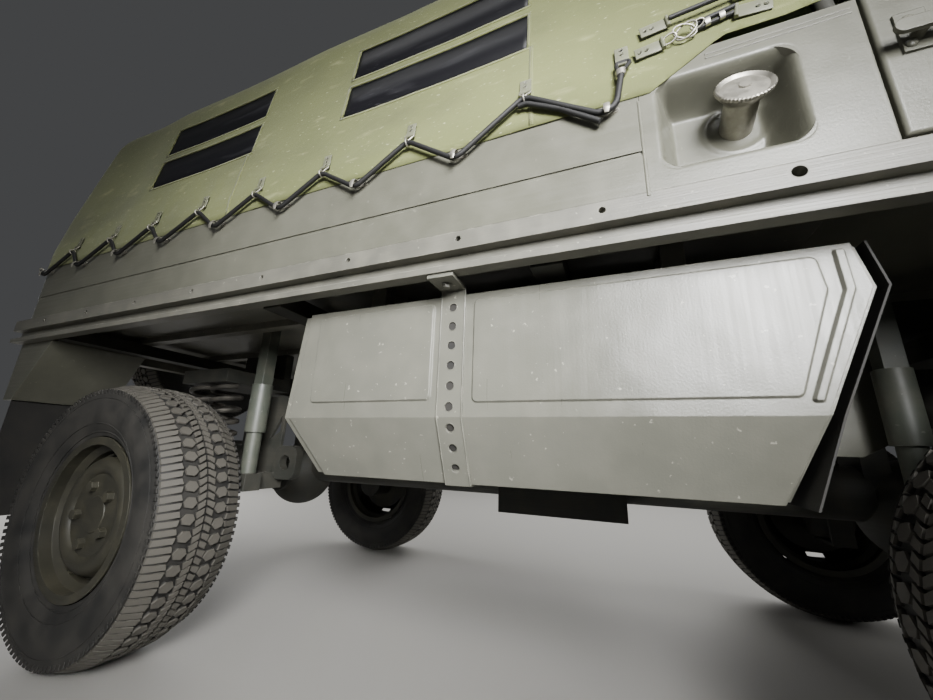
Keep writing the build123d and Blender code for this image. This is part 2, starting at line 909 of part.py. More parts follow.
rear_hinge_x = deck_rear - hinge_barrel_radius - 3
rear_hinge_y = rear_opening_half_width
with BuildPart() as side_wall_left_hinged:
    add(side_wall_left.part)
    for low in rear_hinge_lows:
        hinge(
            True,
            rear_hinge_x,
            rear_hinge_y,
            low,
            (rear_hinge_x - hinge_barrel_radius, deck_rear),
            (rear_hinge_y + hinge_pin_radius + 2, rear_hinge_y + 40),
        )
keep(side_wall_left_hinged.part, "side_wall_left")

# Corner panels between the side walls and the cab doors; the right one is dished for the fuel filler
dish_floor_y = -half_body + filler_depth
into_dish = Plane(origin=(filler_x, -half_body, filler_z), x_dir=(1, 0, 0), z_dir=(0, 1, 0))
with BuildPart() as corner_panels:
    for near, far in side_pair(half_body - wall_thickness, half_body):
        block((seam_x + seat_gap, door_gap_x), (near, far), (rail_top, wall_top))
    with BuildSketch(into_dish.offset(wall_thickness)):
        RectangleRounded(filler_width + 6, filler_height + 6, filler_corner)
    extrude(amount=filler_depth - wall_thickness + 6, taper=filler_draft)
    with BuildSketch(into_dish):
        RectangleRounded(filler_width, filler_height, filler_corner)
    extrude(amount=filler_depth, taper=filler_draft, mode=Mode.SUBTRACT)
keep(corner_panels.part, "corner_panels")

cap_plane = Plane(
    origin=(cap_x, cap_y, cap_z),
    x_dir=(1, 0, 0),
    z_dir=(0, -math.cos(math.radians(cap_tilt)), math.sin(math.radians(cap_tilt))),
)
with BuildPart() as filler_cap:
    with BuildSketch(cap_plane):
        Circle(cap_radius)
    extrude(amount=cap_height)
    with BuildSketch(cap_plane):
        Circle(cap_neck_radius)
    extrude(amount=-90)
    with BuildSketch(cap_plane.offset(cap_height)):
        Circle(cap_boss_radius)
    extrude(amount=cap_boss_height)
    block(
        (cap_x - 100, cap_x + 100),
        (dish_floor_y - seat_gap, dish_floor_y + 100),
        (cap_z - 150, cap_z + 100),
        mode=Mode.SUBTRACT,
    )
keep(filler_cap.part, "filler_cap")

# Rear door with the spare wheel's carrier
carrier_end = spare_x - (disc_face - disc_thickness) + seat_gap
with BuildPart() as rear_door:
    block(
        (deck_rear, deck_rear + wall_thickness),
        (-rear_door_half_width, rear_door_half_width),
        (door_bottom, wall_top),
    )
    with BuildSketch(Plane.YZ.offset(carrier_end)):
        with Locations((0, spare_height)):
            Circle(carrier_radius)
    extrude(amount=deck_rear - carrier_end)
    with BuildSketch(Plane.YZ.offset(carrier_end)):
        with Locations((0, spare_height)):
            Circle(carrier_radius + 50)
    extrude(amount=10)
    block((deck_rear - 12, deck_rear), (-200, 200), (spare_height - 45, spare_height + 45))
    for low in rear_hinge_lows:
        hinge(
            False,
            rear_hinge_x,
            rear_hinge_y,
            low,
            (rear_hinge_x - hinge_barrel_radius, deck_rear),
            (rear_hinge_y - 60, rear_hinge_y - hinge_pin_radius - 2),
        )
keep(rear_door.part, "rear_door")

# Lockers under the rear corners, their fronts slanted away from the wheels, and the flaps below
with BuildPart() as rear_lockers:
    with BuildSketch(Plane.XZ.offset(-locker_inner_y)):
        with BuildLine():
            Polyline(
                (rail_rear + 15, rail_bottom - seat_gap),
                (locker_front_top, rail_bottom - seat_gap),
                (locker_front_bottom, locker_bottom),
                (rail_rear + 15, locker_bottom),
                close=True,
            )
        make_face()
    extrude(amount=-(locker_outer_y - locker_inner_y))
    mirror(about=Plane.XZ)
keep(rear_lockers.part, "rear_lockers")

with BuildPart() as mudflaps:
    for near, far in side_pair(half_track - tyre_width / 2, half_track + tyre_width / 2):
        block((flap_x - 6, flap_x), (near, far), (flap_bottom, locker_bottom - seat_gap))
keep(mudflaps.part, "mudflaps")

with BuildPart() as tail_lamps:
    for near, far in side_pair(locker_outer_y - 150, locker_outer_y - 20):
        block((rail_rear - 14, rail_rear + 15 - seat_gap), (near, far), (locker_bottom + 90, locker_bottom + 150))
keep(tail_lamps.part, "tail_lamps")

# Cab floor over the wheel arches, with the engine cover
with BuildPart() as cab_floor:
    block(
        (deck_front + seat_gap, nose_rear - seat_gap),
        (-rail_inner + seat_gap, rail_inner - seat_gap),
        (deck_bottom, rail_top),
    )
    for y in (-tower_riser_y, tower_riser_y):
        block(
            (deck_front + seat_gap, nose_rear - seat_gap),
            (y - rib_width / 2, y + rib_width / 2),
            (rail_face_bottom, deck_bottom),
        )
    block((cover_rear, nose_rear - seat_gap), (-cover_half_width, cover_half_width), (rail_top, cover_top))
    chamfer(cab_floor.edges().filter_by(Axis.X).group_by(Axis.Z)[-1], 60)
    block(
        (cover_rear + 12, nose_rear),
        (-engine_half_width - 20, engine_half_width + 20),
        (rail_face_bottom - 20, engine_top + 12),
        mode=Mode.SUBTRACT,
    )
    arch_front = front_axle_x - tower_half_length - arch_tower_gap
    for side in (-1, 1):
        with BuildSketch(Plane.XZ.offset(-side * (arch_wall_y + arch_wall_thickness / 2))):
            with BuildLine():
                Polyline(
                    (arch_rear, deck_bottom),
                    (arch_rear, arch_foot),
                    (arch_front - arch_cut_length, arch_foot),
                    (arch_front, arch_foot + arch_cut_rise),
                    (arch_front, deck_bottom),
                    close=True,
                )
            make_face()
        extrude(amount=arch_wall_thickness / 2, both=True)
    for near, far in side_pair(arch_wall_y, arch_wall_y + arch_wall_thickness):
        block(
            (front_axle_x + tower_half_length + arch_tower_gap, nose_rear - seat_gap),
            (near, far),
            (arch_wall_bottom, deck_bottom),
        )
keep(cab_floor.part, "cab_floor")

# Cab nose: footwell, front panel and scuttle in one hollow pressing
with BuildPart() as cab_nose:
    with BuildSketch(Plane.XZ.offset(-half_body)):
        with BuildLine():
            Polyline(
                (nose_rear, nose_bottom),
                (nose_front, nose_bottom),
                (nose_front, nose_shoulder_z),
                (scuttle_x, scuttle_z),
                (nose_rear, scuttle_z),
                close=True,
            )
        make_face()
    extrude(amount=2 * half_body)
    fillet(cab_nose.edges().filter_by(Axis.Z).group_by(Axis.X)[-1], nose_corner_radius)
    with BuildSketch(Plane.XZ.offset(-(half_body - nose_wall))):
        with BuildLine():
            Polyline(
                (nose_rear + bulkhead, nose_bottom + nose_wall),
                (nose_front - nose_wall, nose_bottom + nose_wall),
                (nose_front - nose_wall, nose_shoulder_z - nose_wall / 2),
                (scuttle_x - scuttle_lip, scuttle_z - nose_wall),
                (scuttle_x - scuttle_lip, scuttle_z + 20),
                (nose_rear - 20, scuttle_z + 20),
                (nose_rear - 20, rail_top),
                (nose_rear + bulkhead, rail_top),
                close=True,
            )
        make_face()
    extrude(amount=2 * (half_body - nose_wall), mode=Mode.SUBTRACT)
    block((nose_front - nose_wall, nose_front), (-nose_apron_half, nose_apron_half), (apron_bottom, nose_bottom))
    block(
        (nose_front - 2 * nose_wall, nose_front + 1),
        (-grille_half, grille_half),
        (grille_bottom, grille_top),
        mode=Mode.SUBTRACT,
    )
    for side in (-1, 1):
        with Locations((nose_front - nose_wall / 2, side * lamp_y, lamp_z)):
            Cylinder(lamp_radius + seat_gap, nose_wall + 4, rotation=(0, 90, 0), mode=Mode.SUBTRACT)
        for low in door_hinge_lows:
            hinge(
                True,
                door_hinge_x,
                side * door_hinge_y,
                low,
                (door_hinge_x + hinge_pin_radius + 2, door_hinge_x + 40),
                (side * half_body, side * (door_hinge_y + hinge_barrel_radius - 2)),
            )
keep(cab_nose.part, "cab_nose")

with BuildPart() as grille:
    block(
        (nose_front - nose_wall, nose_front + 4),
        (-grille_half + seat_gap, grille_half - seat_gap),
        (grille_bottom + seat_gap, grille_top - seat_gap),
    )
    block(
        (nose_front - 2 * nose_wall, nose_front + 10),
        (-grille_half + grille_frame, grille_half - grille_frame),
        (grille_bottom + grille_frame, grille_top - grille_frame),
        mode=Mode.SUBTRACT,
    )
    bar_step = (grille_top - grille_bottom - 2 * grille_frame) / (grille_bars + 1)
    for index in range(grille_bars):
        low = grille_bottom + grille_frame + (index + 1) * bar_step
        block(
            (nose_front - grille_bar_depth, nose_front),
            (-grille_half + grille_frame / 2, grille_half - grille_frame / 2),
            (low - grille_bar_height / 2, low + grille_bar_height / 2),
        )
keep(grille.part, "grille")

# Headlamps, each with a flasher below it
with BuildPart() as front_lamps:
    for side in (-1, 1):
        with Locations((nose_front - (nose_wall - lamp_proud) / 2, side * lamp_y, lamp_z)):
            Cylinder(lamp_radius, nose_wall + lamp_proud, rotation=(0, 90, 0))
        block(
            (nose_front + seat_gap, nose_front + flasher_depth),
            (side * (lamp_y - flasher_half), side * (lamp_y + flasher_half)),
            (flasher_bottom, flasher_top),
        )
keep(front_lamps.part, "front_lamps")

with BuildPart() as front_bumper:
    block((front_end - bumper_depth, front_end), (-bumper_half, bumper_half), (bumper_bottom, bumper_top))
    block(
        (front_end - bumper_depth - 10, front_end - bumper_wall),
        (-bumper_half - 1, bumper_half + 1),
        (bumper_bottom + bumper_wall, bumper_top - bumper_wall),
        mode=Mode.SUBTRACT,
    )
    for near, far in side_pair(bumper_arm_y - 25, bumper_arm_y + 25):
        block(
            (nose_front + seat_gap, front_end - bumper_wall),
            (near, far),
            (bumper_bottom + bumper_wall, bumper_top - bumper_wall),
        )
    for side in (-1, 1):
        block(
            (front_end - 75, front_end - 5),
            (side * (bumper_arm_y - 12), side * (bumper_arm_y + 12)),
            (bumper_bottom - 55, bumper_bottom),
        )
        with Locations((front_end - 40, side * bumper_arm_y, bumper_bottom - 27)):
            Cylinder(tow_eye_radius, 60, rotation=(90, 0, 0), mode=Mode.SUBTRACT)
keep(front_bumper.part, "front_bumper")

# Windscreen: leaning frame with its pane and the wings that close it against the doors
screen_length = math.hypot(screen_slope, screen_rise)
screen_plane = Plane(
    origin=(scuttle_x, 0, scuttle_z + seat_gap),
    x_dir=(0, 1, 0),
    z_dir=(screen_rise / screen_length, 0, screen_slope / screen_length),
)
side_plane = Plane(
    origin=(0, -half_body, knee_height),
    x_dir=(1, 0, 0),
    z_dir=(0, -math.cos(math.radians(lean)), math.sin(math.radians(lean))),
)


def leaning_half(height):
    """Half width of the cab's leaning side at a height."""
    return half_body - (height - knee_height) * lean_slope


screen_foot_half = leaning_half(scuttle_z)
screen_head_half = leaning_half(scuttle_z + screen_rise)
screen_spread = (screen_foot_half - screen_head_half) / screen_length
screen_inner_foot = screen_foot_half - screen_bar - screen_spread * screen_bar
screen_inner_head = screen_head_half - screen_bar + screen_spread * screen_bar
wing_top = door_top - 2
wing_stretch = 1 / math.cos(math.radians(lean))
with BuildPart() as windscreen_frame:
    with BuildSketch(screen_plane) as screen_sketch:
        with BuildLine():
            Polyline(
                (-screen_foot_half - 10 * screen_spread, -10),
                (screen_foot_half + 10 * screen_spread, -10),
                (screen_head_half, screen_length),
                (-screen_head_half, screen_length),
                close=True,
            )
        make_face()
        fillet(screen_sketch.vertices().group_by(Axis.Y)[-1], screen_corner)
        with BuildLine():
            Polyline(
                (-screen_inner_foot, screen_bar),
                (screen_inner_foot, screen_bar),
                (screen_inner_head, screen_length - screen_bar),
                (-screen_inner_head, screen_length - screen_bar),
                close=True,
            )
        make_face(mode=Mode.SUBTRACT)
    extrude(amount=-screen_thickness)
    with BuildSketch(side_plane):
        with BuildLine():
            Polyline(
                (nose_rear, (scuttle_z - 10 - knee_height) * wing_stretch),
                (scuttle_x - screen_thickness / 2, (scuttle_z - 10 - knee_height) * wing_stretch),
                (
                    scuttle_x - screen_thickness / 2 - (wing_top - scuttle_z) * screen_lean,
                    (wing_top - knee_height) * wing_stretch,
                ),
                (door_top_front + shut_gap, (wing_top - knee_height) * wing_stretch),
                (nose_rear, (door_waist - knee_height) * wing_stretch),
                close=True,
            )
        make_face()
    extrude(amount=-door_frame_thickness)
    mirror(about=Plane.XZ)
    block(
        (nose_rear - 50, scuttle_x + 50),
        (-half_body, half_body),
        (scuttle_z - 50, scuttle_z + seat_gap),
        mode=Mode.SUBTRACT,
    )
keep(windscreen_frame.part, "windscreen_frame")

with BuildPart() as windscreen_glass:
    with BuildSketch(screen_plane.offset(-screen_thickness / 2)):
        with BuildLine():
            Polyline(
                (-screen_inner_foot + seat_gap, screen_bar + seat_gap),
                (screen_inner_foot - seat_gap, screen_bar + seat_gap),
                (screen_inner_head - seat_gap, screen_length - screen_bar - seat_gap),
                (-screen_inner_head + seat_gap, screen_length - screen_bar - seat_gap),
                close=True,
            )
        make_face()
    extrude(amount=glass_thickness)
keep(windscreen_glass.part, "windscreen_glass")

# Cab doors: pressed lower panel, leaning window frame and pane
waist_offset = (door_waist - knee_height) / math.cos(math.radians(lean))
head_offset = (door_top - knee_height) / math.cos(math.radians(lean))
door_front = nose_rear - shut_gap
with BuildPart() as door_right:
    block((door_rear, door_front), (-half_body, -half_body + door_thickness), (door_bottom, door_waist - 8))
    fillet(door_right.faces().sort_by(Axis.Y)[0].edges(), door_edge_radius)
    with BuildSketch(side_plane):
        with BuildLine():
            Polyline(
                (door_rear, 0),
                (door_front, 0),
                (door_front, waist_offset),
                (door_top_front, head_offset),
                (door_rear, head_offset),
                close=True,
            )
        make_face()
        with BuildLine():
            Polyline(
                (door_rear + door_frame_bar, waist_offset + 10),
                (door_front - door_frame_bar, waist_offset + 10),
                (door_top_front - door_frame_bar, head_offset - door_frame_bar),
                (door_rear + door_frame_bar, head_offset - door_frame_bar),
                close=True,
            )
        make_face(mode=Mode.SUBTRACT)
    extrude(amount=-door_frame_thickness)
    for low in door_hinge_lows:
        hinge(
            False,
            door_hinge_x,
            -door_hinge_y,
            low,
            (door_hinge_x - 60, door_hinge_x - hinge_pin_radius - 2),
            (-door_hinge_y - hinge_barrel_radius + 2, -half_body),
        )
    # Pull handle: a flat bar with round ends, on two screwed feet
    for foot_x in (handle_rear + handle_foot, handle_rear + handle_length - handle_foot):
        block(
            (foot_x - handle_foot / 2, foot_x + handle_foot / 2),
            (-half_body - handle_foot_thickness, -half_body),
            (handle_foot_bottom, handle_foot_bottom + handle_foot_height),
        )
        with Locations((foot_x, -half_body - handle_reach / 2, handle_z)):
            Cylinder(handle_post_radius, handle_reach, rotation=(90, 0, 0))
    with BuildSketch(Plane.XZ.offset(half_body + handle_reach)):
        with Locations((handle_rear + handle_length / 2, handle_z)):
            SlotOverall(handle_length, handle_height)
    extrude(amount=-handle_thickness)
keep(door_right.part, "door_right")

with BuildPart() as door_glass_right:
    with BuildSketch(side_plane.offset(-door_frame_thickness / 2)):
        with BuildLine():
            Polyline(
                (door_rear + door_frame_bar + seat_gap, waist_offset + 10 + seat_gap),
                (door_front - door_frame_bar - 1, waist_offset + 10 + seat_gap),
                (door_top_front - door_frame_bar - 1, head_offset - door_frame_bar - seat_gap),
                (door_rear + door_frame_bar + seat_gap, head_offset - door_frame_bar - seat_gap),
                close=True,
            )
        make_face()
    extrude(amount=glass_thickness)
keep(door_glass_right.part, "door_glass_right")

with BuildPart() as door_left:
    mirror(door_right.part, about=Plane.XZ)
keep(door_left.part, "door_left")
with BuildPart() as door_glass_left:
    mirror(door_glass_right.part, about=Plane.XZ)
keep(door_glass_left.part, "door_glass_left")

# Outside mirrors: a bent tube from the scuttle carries each head
mirror_head_top = mirror_z + mirror_head_height
with BuildPart() as mirrors:
    block(
        (mirror_x - mirror_head_thickness / 2, mirror_x + mirror_head_thickness / 2),
        (-half_body - mirror_reach - mirror_head_outer, -half_body - mirror_reach + mirror_head_inner),
        (mirror_z + mirror_head_lift, mirror_head_top),
    )
    fillet(mirrors.edges().filter_by(Axis.X), mirror_head_corner)
    with BuildLine() as arm_path:
        FilletPolyline(
            (mirror_x, -half_body - seat_gap, mirror_z),
            (mirror_x, -half_body - mirror_reach, mirror_z),
            (mirror_x, -half_body - mirror_reach, mirror_head_top - mirror_head_corner),
            radius=mirror_arm_bend,
        )
    with BuildSketch(Plane(origin=arm_path.line @ 0, z_dir=arm_path.line % 0)):
        Circle(mirror_arm_radius)
    sweep(path=arm_path.line)
    mirror(about=Plane.XZ)
keep(mirrors.part, "mirrors")

# Inside the cab
dash_half = half_body - nose_wall - seat_gap
column_tilt = math.radians(steering_tilt)
column_direction = (math.sin(column_tilt), 0, -math.cos(column_tilt))
column_plane = Plane(origin=(steering_x, seat_y, steering_z), x_dir=(0, 1, 0), z_dir=column_direction)
footwell_floor = nose_bottom + nose_wall
column_length = (steering_z - footwell_floor) / math.cos(column_tilt) + column_radius
with BuildPart() as dashboard:
    block((dash_rear, dash_front), (-dash_half, dash_half), (dash_bottom, dash_top))
    fillet(dashboard.edges().filter_by(Axis.Y).group_by(Axis.X)[0], 18)
    with BuildSketch(column_plane.offset(hub_depth)):
        Circle(column_radius)
    extrude(amount=column_length - hub_depth)
    with BuildSketch(column_plane):
        Circle(spindle_radius)
    extrude(amount=hub_depth)
    # The column stands on the footwell's floor
    block(
        (dash_front, nose_front),
        (seat_y - 2 * column_radius, seat_y + 2 * column_radius),
        (nose_bottom - column_radius, footwell_floor + seat_gap),
        mode=Mode.SUBTRACT,
    )
keep(dashboard.part, "dashboard")

with BuildPart() as steering_wheel:
    with BuildSketch(Plane(origin=column_plane.origin, x_dir=column_plane.z_dir, z_dir=(0, 1, 0))) as rim_section:
        with Locations((0, steering_radius)):
            Circle(steering_grip_radius)
    revolve(axis=Axis(column_plane.origin, column_plane.z_dir))
    with BuildSketch(column_plane.offset(-hub_rise)):
        Circle(hub_plate_radius)
        with PolarLocations(steering_radius / 2, 3, start_angle=90):
            Rectangle(steering_radius - 10, spoke_width)
    extrude(amount=spoke_thickness)
    with BuildSketch(column_plane.offset(-hub_rise)):
        Circle(hub_radius)
    extrude(amount=hub_depth + hub_rise - 2 * seat_gap)
    with BuildSketch(column_plane):
        Circle(spindle_radius + running_gap)
    extrude(amount=hub_depth + 5, mode=Mode.SUBTRACT)
keep(steering_wheel.part, "steering_wheel")

with BuildPart() as front_seats:
    for near, far in side_pair(seat_y - seat_half, seat_y + seat_half):
        block((seat_rear, seat_front), (near, far), (rail_top + seat_gap, seat_base_top))
        block((seat_rear + 10, seat_front + seat_overhang), (near, far), (seat_base_top, seat_top))
        back_xs = (seat_rear + 20 - seat_back_thickness, seat_rear + 20)
        block(back_xs, (near, far), (seat_base_top, seat_back_top))
keep(front_seats.part, "front_seats")

with BuildPart() as bench_seats:
    for near, far in side_pair(bench_inner_y, bench_outer_y):
        block((bench_rear, bench_front), (near, far), (bench_top - bench_thickness, bench_top))
        leg_near = near + math.copysign(bench_leg_inset, near)
        leg_far = leg_near + math.copysign(bench_leg, near)
        for x in (bench_rear + 40, (bench_rear + bench_front) / 2, bench_front - 70):
            block((x, x + bench_leg), (leg_near, leg_far), (rail_top + seat_gap, bench_top))
            block((x, x + bench_leg), (leg_near, far), (bench_top - 2 * bench_thickness, bench_top))
keep(bench_seats.part, "bench_seats")

# Fuel tank hung under the right rail, and the locker of the same form on the left
tank_side = [
    # x, height
    (tank_rear_top, tank_top),
    (tank_front_top, tank_top),
    (tank_front_point, tank_point_z),
    (tank_front_crease, tank_crease),
    (tank_front_bottom, tank_bottom),
    (tank_rear_bottom, tank_bottom),
    (tank_rear_crease, tank_crease),
]
tank_section = [
    # distance from the middle plane, height
    (tank_inner_y, tank_top),
    (tank_outer_y, tank_top),
    (tank_outer_y, tank_crease),
    (tank_outer_y - tank_undercut, tank_bottom),
    (tank_inner_y, tank_bottom),
]
with BuildPart() as tank_lips:
    with BuildSketch(Plane.YZ.offset(tank_rear_crease - 50)):
        with BuildLine():
            Polyline([(-y, z) for y, z in tank_section], close=True)
        make_face()
        offset(amount=-tank_lip_inset)
        offset(amount=-tank_lip_thickness, mode=Mode.SUBTRACT)
    extrude(amount=tank_front_point - tank_rear_crease + 100)
    with BuildSketch(Plane.XZ.offset(tank_inner_y - 10)):
        with BuildLine():
            Polyline([(x + (tank_front_lip if x > 0 else -tank_rear_lip), z) for x, z in tank_side], close=True)
        make_face()
    extrude(amount=tank_outer_y - tank_inner_y + 20, mode=Mode.INTERSECT)
with BuildPart() as fuel_tank:
    with BuildSketch(Plane.YZ.offset(tank_rear_crease - 50)):
        with BuildLine():
            Polyline([(-y, z) for y, z in tank_section], close=True)
        make_face()
    extrude(amount=tank_front_point - tank_rear_crease + 100)
    with BuildSketch(Plane.XZ.offset(tank_inner_y - 10)):
        with BuildLine():
            Polyline(tank_side, close=True)
        make_face()
    extrude(amount=tank_outer_y - tank_inner_y + 20, mode=Mode.INTERSECT)
    add(tank_lips.part)
    # Pressed panels, and the bead that follows the front end
    for outlines, corner, rise, taper in (
        (tank_panels, panel_corner, panel_rise, panel_taper),
        ([tank_bead], bead_corner, bead_rise, bead_taper),
    ):
        for outline in outlines:
            with BuildSketch(Plane.XZ.offset(tank_outer_y)) as pressing:
                with BuildLine():
                    Polyline(outline, close=True)
                make_face()
                fillet(pressing.vertices(), corner)
            extrude(amount=rise, taper=taper)
    for y in (-tank_inner_y - 90, -tank_outer_y + 40):
        for x in (hanger_rear, hanger_front):
            block((x, x + 40), (y, y + 20), (tank_top, deck_bottom - seat_gap))
keep(fuel_tank.part, "fuel_tank")
with BuildPart() as side_locker:
    mirror(fuel_tank.part, about=Plane.XZ)
keep(side_locker.part, "side_locker")


def tank_front_x(height):
    """Where the tank's front end is at a height above its crease."""
    if height > tank_point_z:
        share = (height - tank_point_z) / (tank_top - tank_point_z)
        return tank_front_point + share * (tank_front_top - tank_front_point)
    share = (height - tank_crease) / (tank_point_z - tank_crease)
    return tank_front_crease + share * (tank_front_point - tank_front_crease)


# Splash guard: a thin sheet that follows the tank's front end on spacers
guard_line = tank_side[1:5]
with BuildPart() as splash_guard:
    with BuildSketch(Plane.XZ.offset(tank_inner_y)):
        with BuildLine():
            Polyline(
                [(x + guard_gap, z) for x, z in guard_line]
                + [(x + guard_gap + guard_thickness, z) for x, z in reversed(guard_line)],
                close=True,
            )
        make_face()
    extrude(amount=tank_outer_y - tank_inner_y)
    with BuildSketch(Plane.XZ.offset(-guard_spacer_y[1])):
        for low, high in guard_spacers:
            with BuildLine():
                Polyline(
                    (tank_front_x(low) + seat_gap, low),
                    (tank_front_x(low) + guard_gap + 1, low),
                    (tank_front_x(high) + guard_gap + 1, high),
                    (tank_front_x(high) + seat_gap, high),
                    close=True,
                )
            make_face()
    extrude(amount=guard_spacer_y[1] - guard_spacer_y[0])
keep(splash_guard.part, "splash_guard")

# Perforated strap round the tank, hung from the rail's lower lip
skin = tank_outer_y + seat_gap
slope_length = math.hypot(tank_undercut, tank_crease - tank_bottom)
strap_outer = skin + strap_thickness
with BuildPart() as tank_mounts:
    with BuildSketch(Plane.YZ.offset(strap_x - strap_width / 2)):
        with BuildLine():
            Polyline(
                (-skin, rail_bottom - seat_gap),
                (-skin, tank_crease),
                (-skin + tank_undercut, tank_bottom - seat_gap),
                (-tank_inner_y, tank_bottom - seat_gap),
                (-tank_inner_y, tank_bottom - seat_gap - strap_thickness),
                (-strap_outer + tank_undercut, tank_bottom - seat_gap - strap_thickness),
                (-strap_outer, tank_crease),
                (-strap_outer, rail_bottom - seat_gap),
                close=True,
            )
        make_face()
    extrude(amount=strap_width)
    block(
        (strap_x - strap_width / 2, strap_x + strap_width / 2),
        (-half_body + 5, -skin),
        (rail_bottom - seat_gap - 8, rail_bottom - seat_gap),
    )
    with BuildSketch(Plane.XZ.offset(skin - 1)):
        for index in range(strap_holes_upper):
            with Locations((strap_x, tank_crease + strap_first_hole + index * strap_hole_pitch)):
                Circle(strap_hole_radius)
    extrude(amount=strap_thickness + 2, mode=Mode.SUBTRACT)
    undercut_plane = Plane(
        origin=(strap_x, -skin, tank_crease),
        x_dir=(1, 0, 0),
        z_dir=(0, -(tank_crease - tank_bottom) / slope_length, -tank_undercut / slope_length),
    )
    with BuildSketch(undercut_plane.offset(-1)):
        for index in range(strap_holes_lower):
            with Locations((0, strap_first_hole - (index + 1) * strap_hole_pitch)):
                Circle(strap_hole_radius)
    extrude(amount=strap_thickness + 2, mode=Mode.SUBTRACT)
keep(tank_mounts.part, "tank_mounts")

# Exhaust: from the engine through the silencer, over the rear axle and out below the rear beam
pipe_engine_y = engine_half_width - 2 * pipe_radius
with BuildPart() as exhaust:
    with Locations((exhaust_x, exhaust_y, exhaust_z)):
        Cylinder(exhaust_radius, exhaust_length, rotation=(0, 90, 0))
    with BuildLine() as pipe_route:
        FilletPolyline(
            (engine_rear - seat_gap, pipe_engine_y, exhaust_z),
            (engine_rear - 120, pipe_engine_y, exhaust_z),
            (exhaust_x + 600, exhaust_y, exhaust_z),
            (exhaust_x - 400, exhaust_y, exhaust_z),
            (exhaust_x - 600, tail_pipe_y, tail_pipe_z),
            (rail_rear + 20, tail_pipe_y, tail_pipe_z),
            radius=pipe_bend,
        )
    with BuildSketch(Plane(origin=pipe_route.line @ 0, z_dir=pipe_route.line % 0)):
        Circle(pipe_radius)
    sweep(path=pipe_route.line)
keep(exhaust.part, "exhaust")

# Tow jaw: a forked block behind its bolted plate, bored for the pin
plate_rear = hitch_face_x - seat_gap - hitch_plate
with BuildPart() as tow_hitch:
    block(
        (plate_rear, hitch_face_x - seat_gap),
        (-hitch_plate_half, hitch_plate_half),
        (hitch_height - hitch_plate_rise, hitch_height + hitch_plate_rise),
    )
    block(
        (hitch_face_x - hitch_length, plate_rear + 1),
        (-hitch_jaw_half, hitch_jaw_half),
        (hitch_height - hitch_jaw_rise, hitch_height + hitch_jaw_rise),
    )
    block(
        (hitch_face_x - hitch_length - 1, hitch_face_x - hitch_length + hitch_mouth_depth),
        (-hitch_jaw_half - 1, hitch_jaw_half + 1),
        (hitch_height - hitch_mouth_rise, hitch_height + hitch_mouth_rise),
        mode=Mode.SUBTRACT,
    )
    with Locations((hitch_face_x - hitch_length + hitch_bore_inset, 0, hitch_height)):
        Cylinder(hitch_bore_radius, 3 * hitch_jaw_rise, mode=Mode.SUBTRACT)
keep(tow_hitch.part, "tow_hitch")


def tilt_outline(inset, foot):
    """Closed outline of the tilt across the truck, inset from its outer skin."""
    with BuildLine() as outline:
        hem = (-(hem_half - inset), foot)
        knee = (-(hem_half - inset), knee_height)
        eave = (-(eave_half - inset), eave_height)
        Line(hem, knee)
        side = Line(knee, eave)
        shoulder = JernArc(eave, side % 1, eave_radius - inset, lean + roof_slope - 90)
        Line((hem_half - inset, foot), (hem_half - inset, knee_height))
        other = Line((hem_half - inset, knee_height), (eave_half - inset, eave_height))
        far_shoulder = JernArc(other @ 1, other % 1, eave_radius - inset, 90 - lean - roof_slope)
        ThreePointArc(shoulder @ 1, (0, roof_height - inset), far_shoulder @ 1)
        Line((hem_half - inset, foot), hem)
    return outline.line


def tilt_solid(inset, foot, front):
    """Solid under the tilt's skin, its rear end leaning forward and rounded."""
    rear = tilt_rear + inset
    with BuildPart() as form:
        with BuildSketch(Plane.YZ.offset(rear)):
            make_face(tilt_outline(inset, foot).edges())
        extrude(amount=front - rear)
        with BuildSketch(Plane.XZ.offset(-half_body - 50)):
            with BuildLine():
                Polyline(
                    (rear, foot - 1),
                    (rear, tilt_rear_lean_z),
                    (rear + tilt_rear_lean, roof_height + 10),
                    (front + 1, roof_height + 10),
                    (front + 1, foot - 1),
                    close=True,
                )
            make_face()
        extrude(amount=2 * half_body + 100, mode=Mode.INTERSECT)
        ends = form.faces().filter_by(lambda face: face.normal_at().X < -0.9)
        rim_edges = ends.edges().filter_by(lambda edge: edge.center().Z > foot + 5)
        fillet(rim_edges.filter_by(Axis.Y, reverse=True), wall_corner_radius + seat_gap + canvas - inset)
    return form.part


tilt_outside = tilt_solid(0, hem_height, tilt_front)
tilt_inside = tilt_solid(canvas, hem_height - 10, tilt_front - canvas)
with BuildPart() as canvas_tilt:
    add(tilt_outside)
    add(tilt_inside, mode=Mode.SUBTRACT)
    block(
        (tilt_front - 20, tilt_front + 10),
        (-half_body, half_body),
        (hem_height - 20, tilt_header_z),
        mode=Mode.SUBTRACT,
    )
    with BuildSketch(Plane.XZ.offset(-half_body - 50)):
        with BuildLine():
            Polyline(
                (hem_steps[0][0], hem_height - 50),
                *[(x, hem_height + rise) for x, rise in hem_steps],
                (tilt_door_rear, tilt_door_top - 40),
                (tilt_door_rear + 40, tilt_door_top),
                (tilt_front + 5, tilt_door_top),
                (tilt_front + 5, hem_height - 50),
                close=True,
            )
        make_face()
    extrude(amount=2 * half_body + 100, mode=Mode.SUBTRACT)
    block(
        (tilt_rear - 10, deck_rear + wall_thickness + 10),
        (-rear_opening_half_width, rear_opening_half_width),
        (hem_height - 10, wall_top + shut_gap),
        mode=Mode.SUBTRACT,
    )
    for low, high in window_rows:
        for start, end in tilt_window_xs:
            block((start, end), (-half_body, half_body), (low, high), mode=Mode.SUBTRACT)
        rear_window_ys = (-rear_window_half, rear_window_half)
        block((tilt_rear - 10, tilt_rear + 300), rear_window_ys, (low, high), mode=Mode.SUBTRACT)
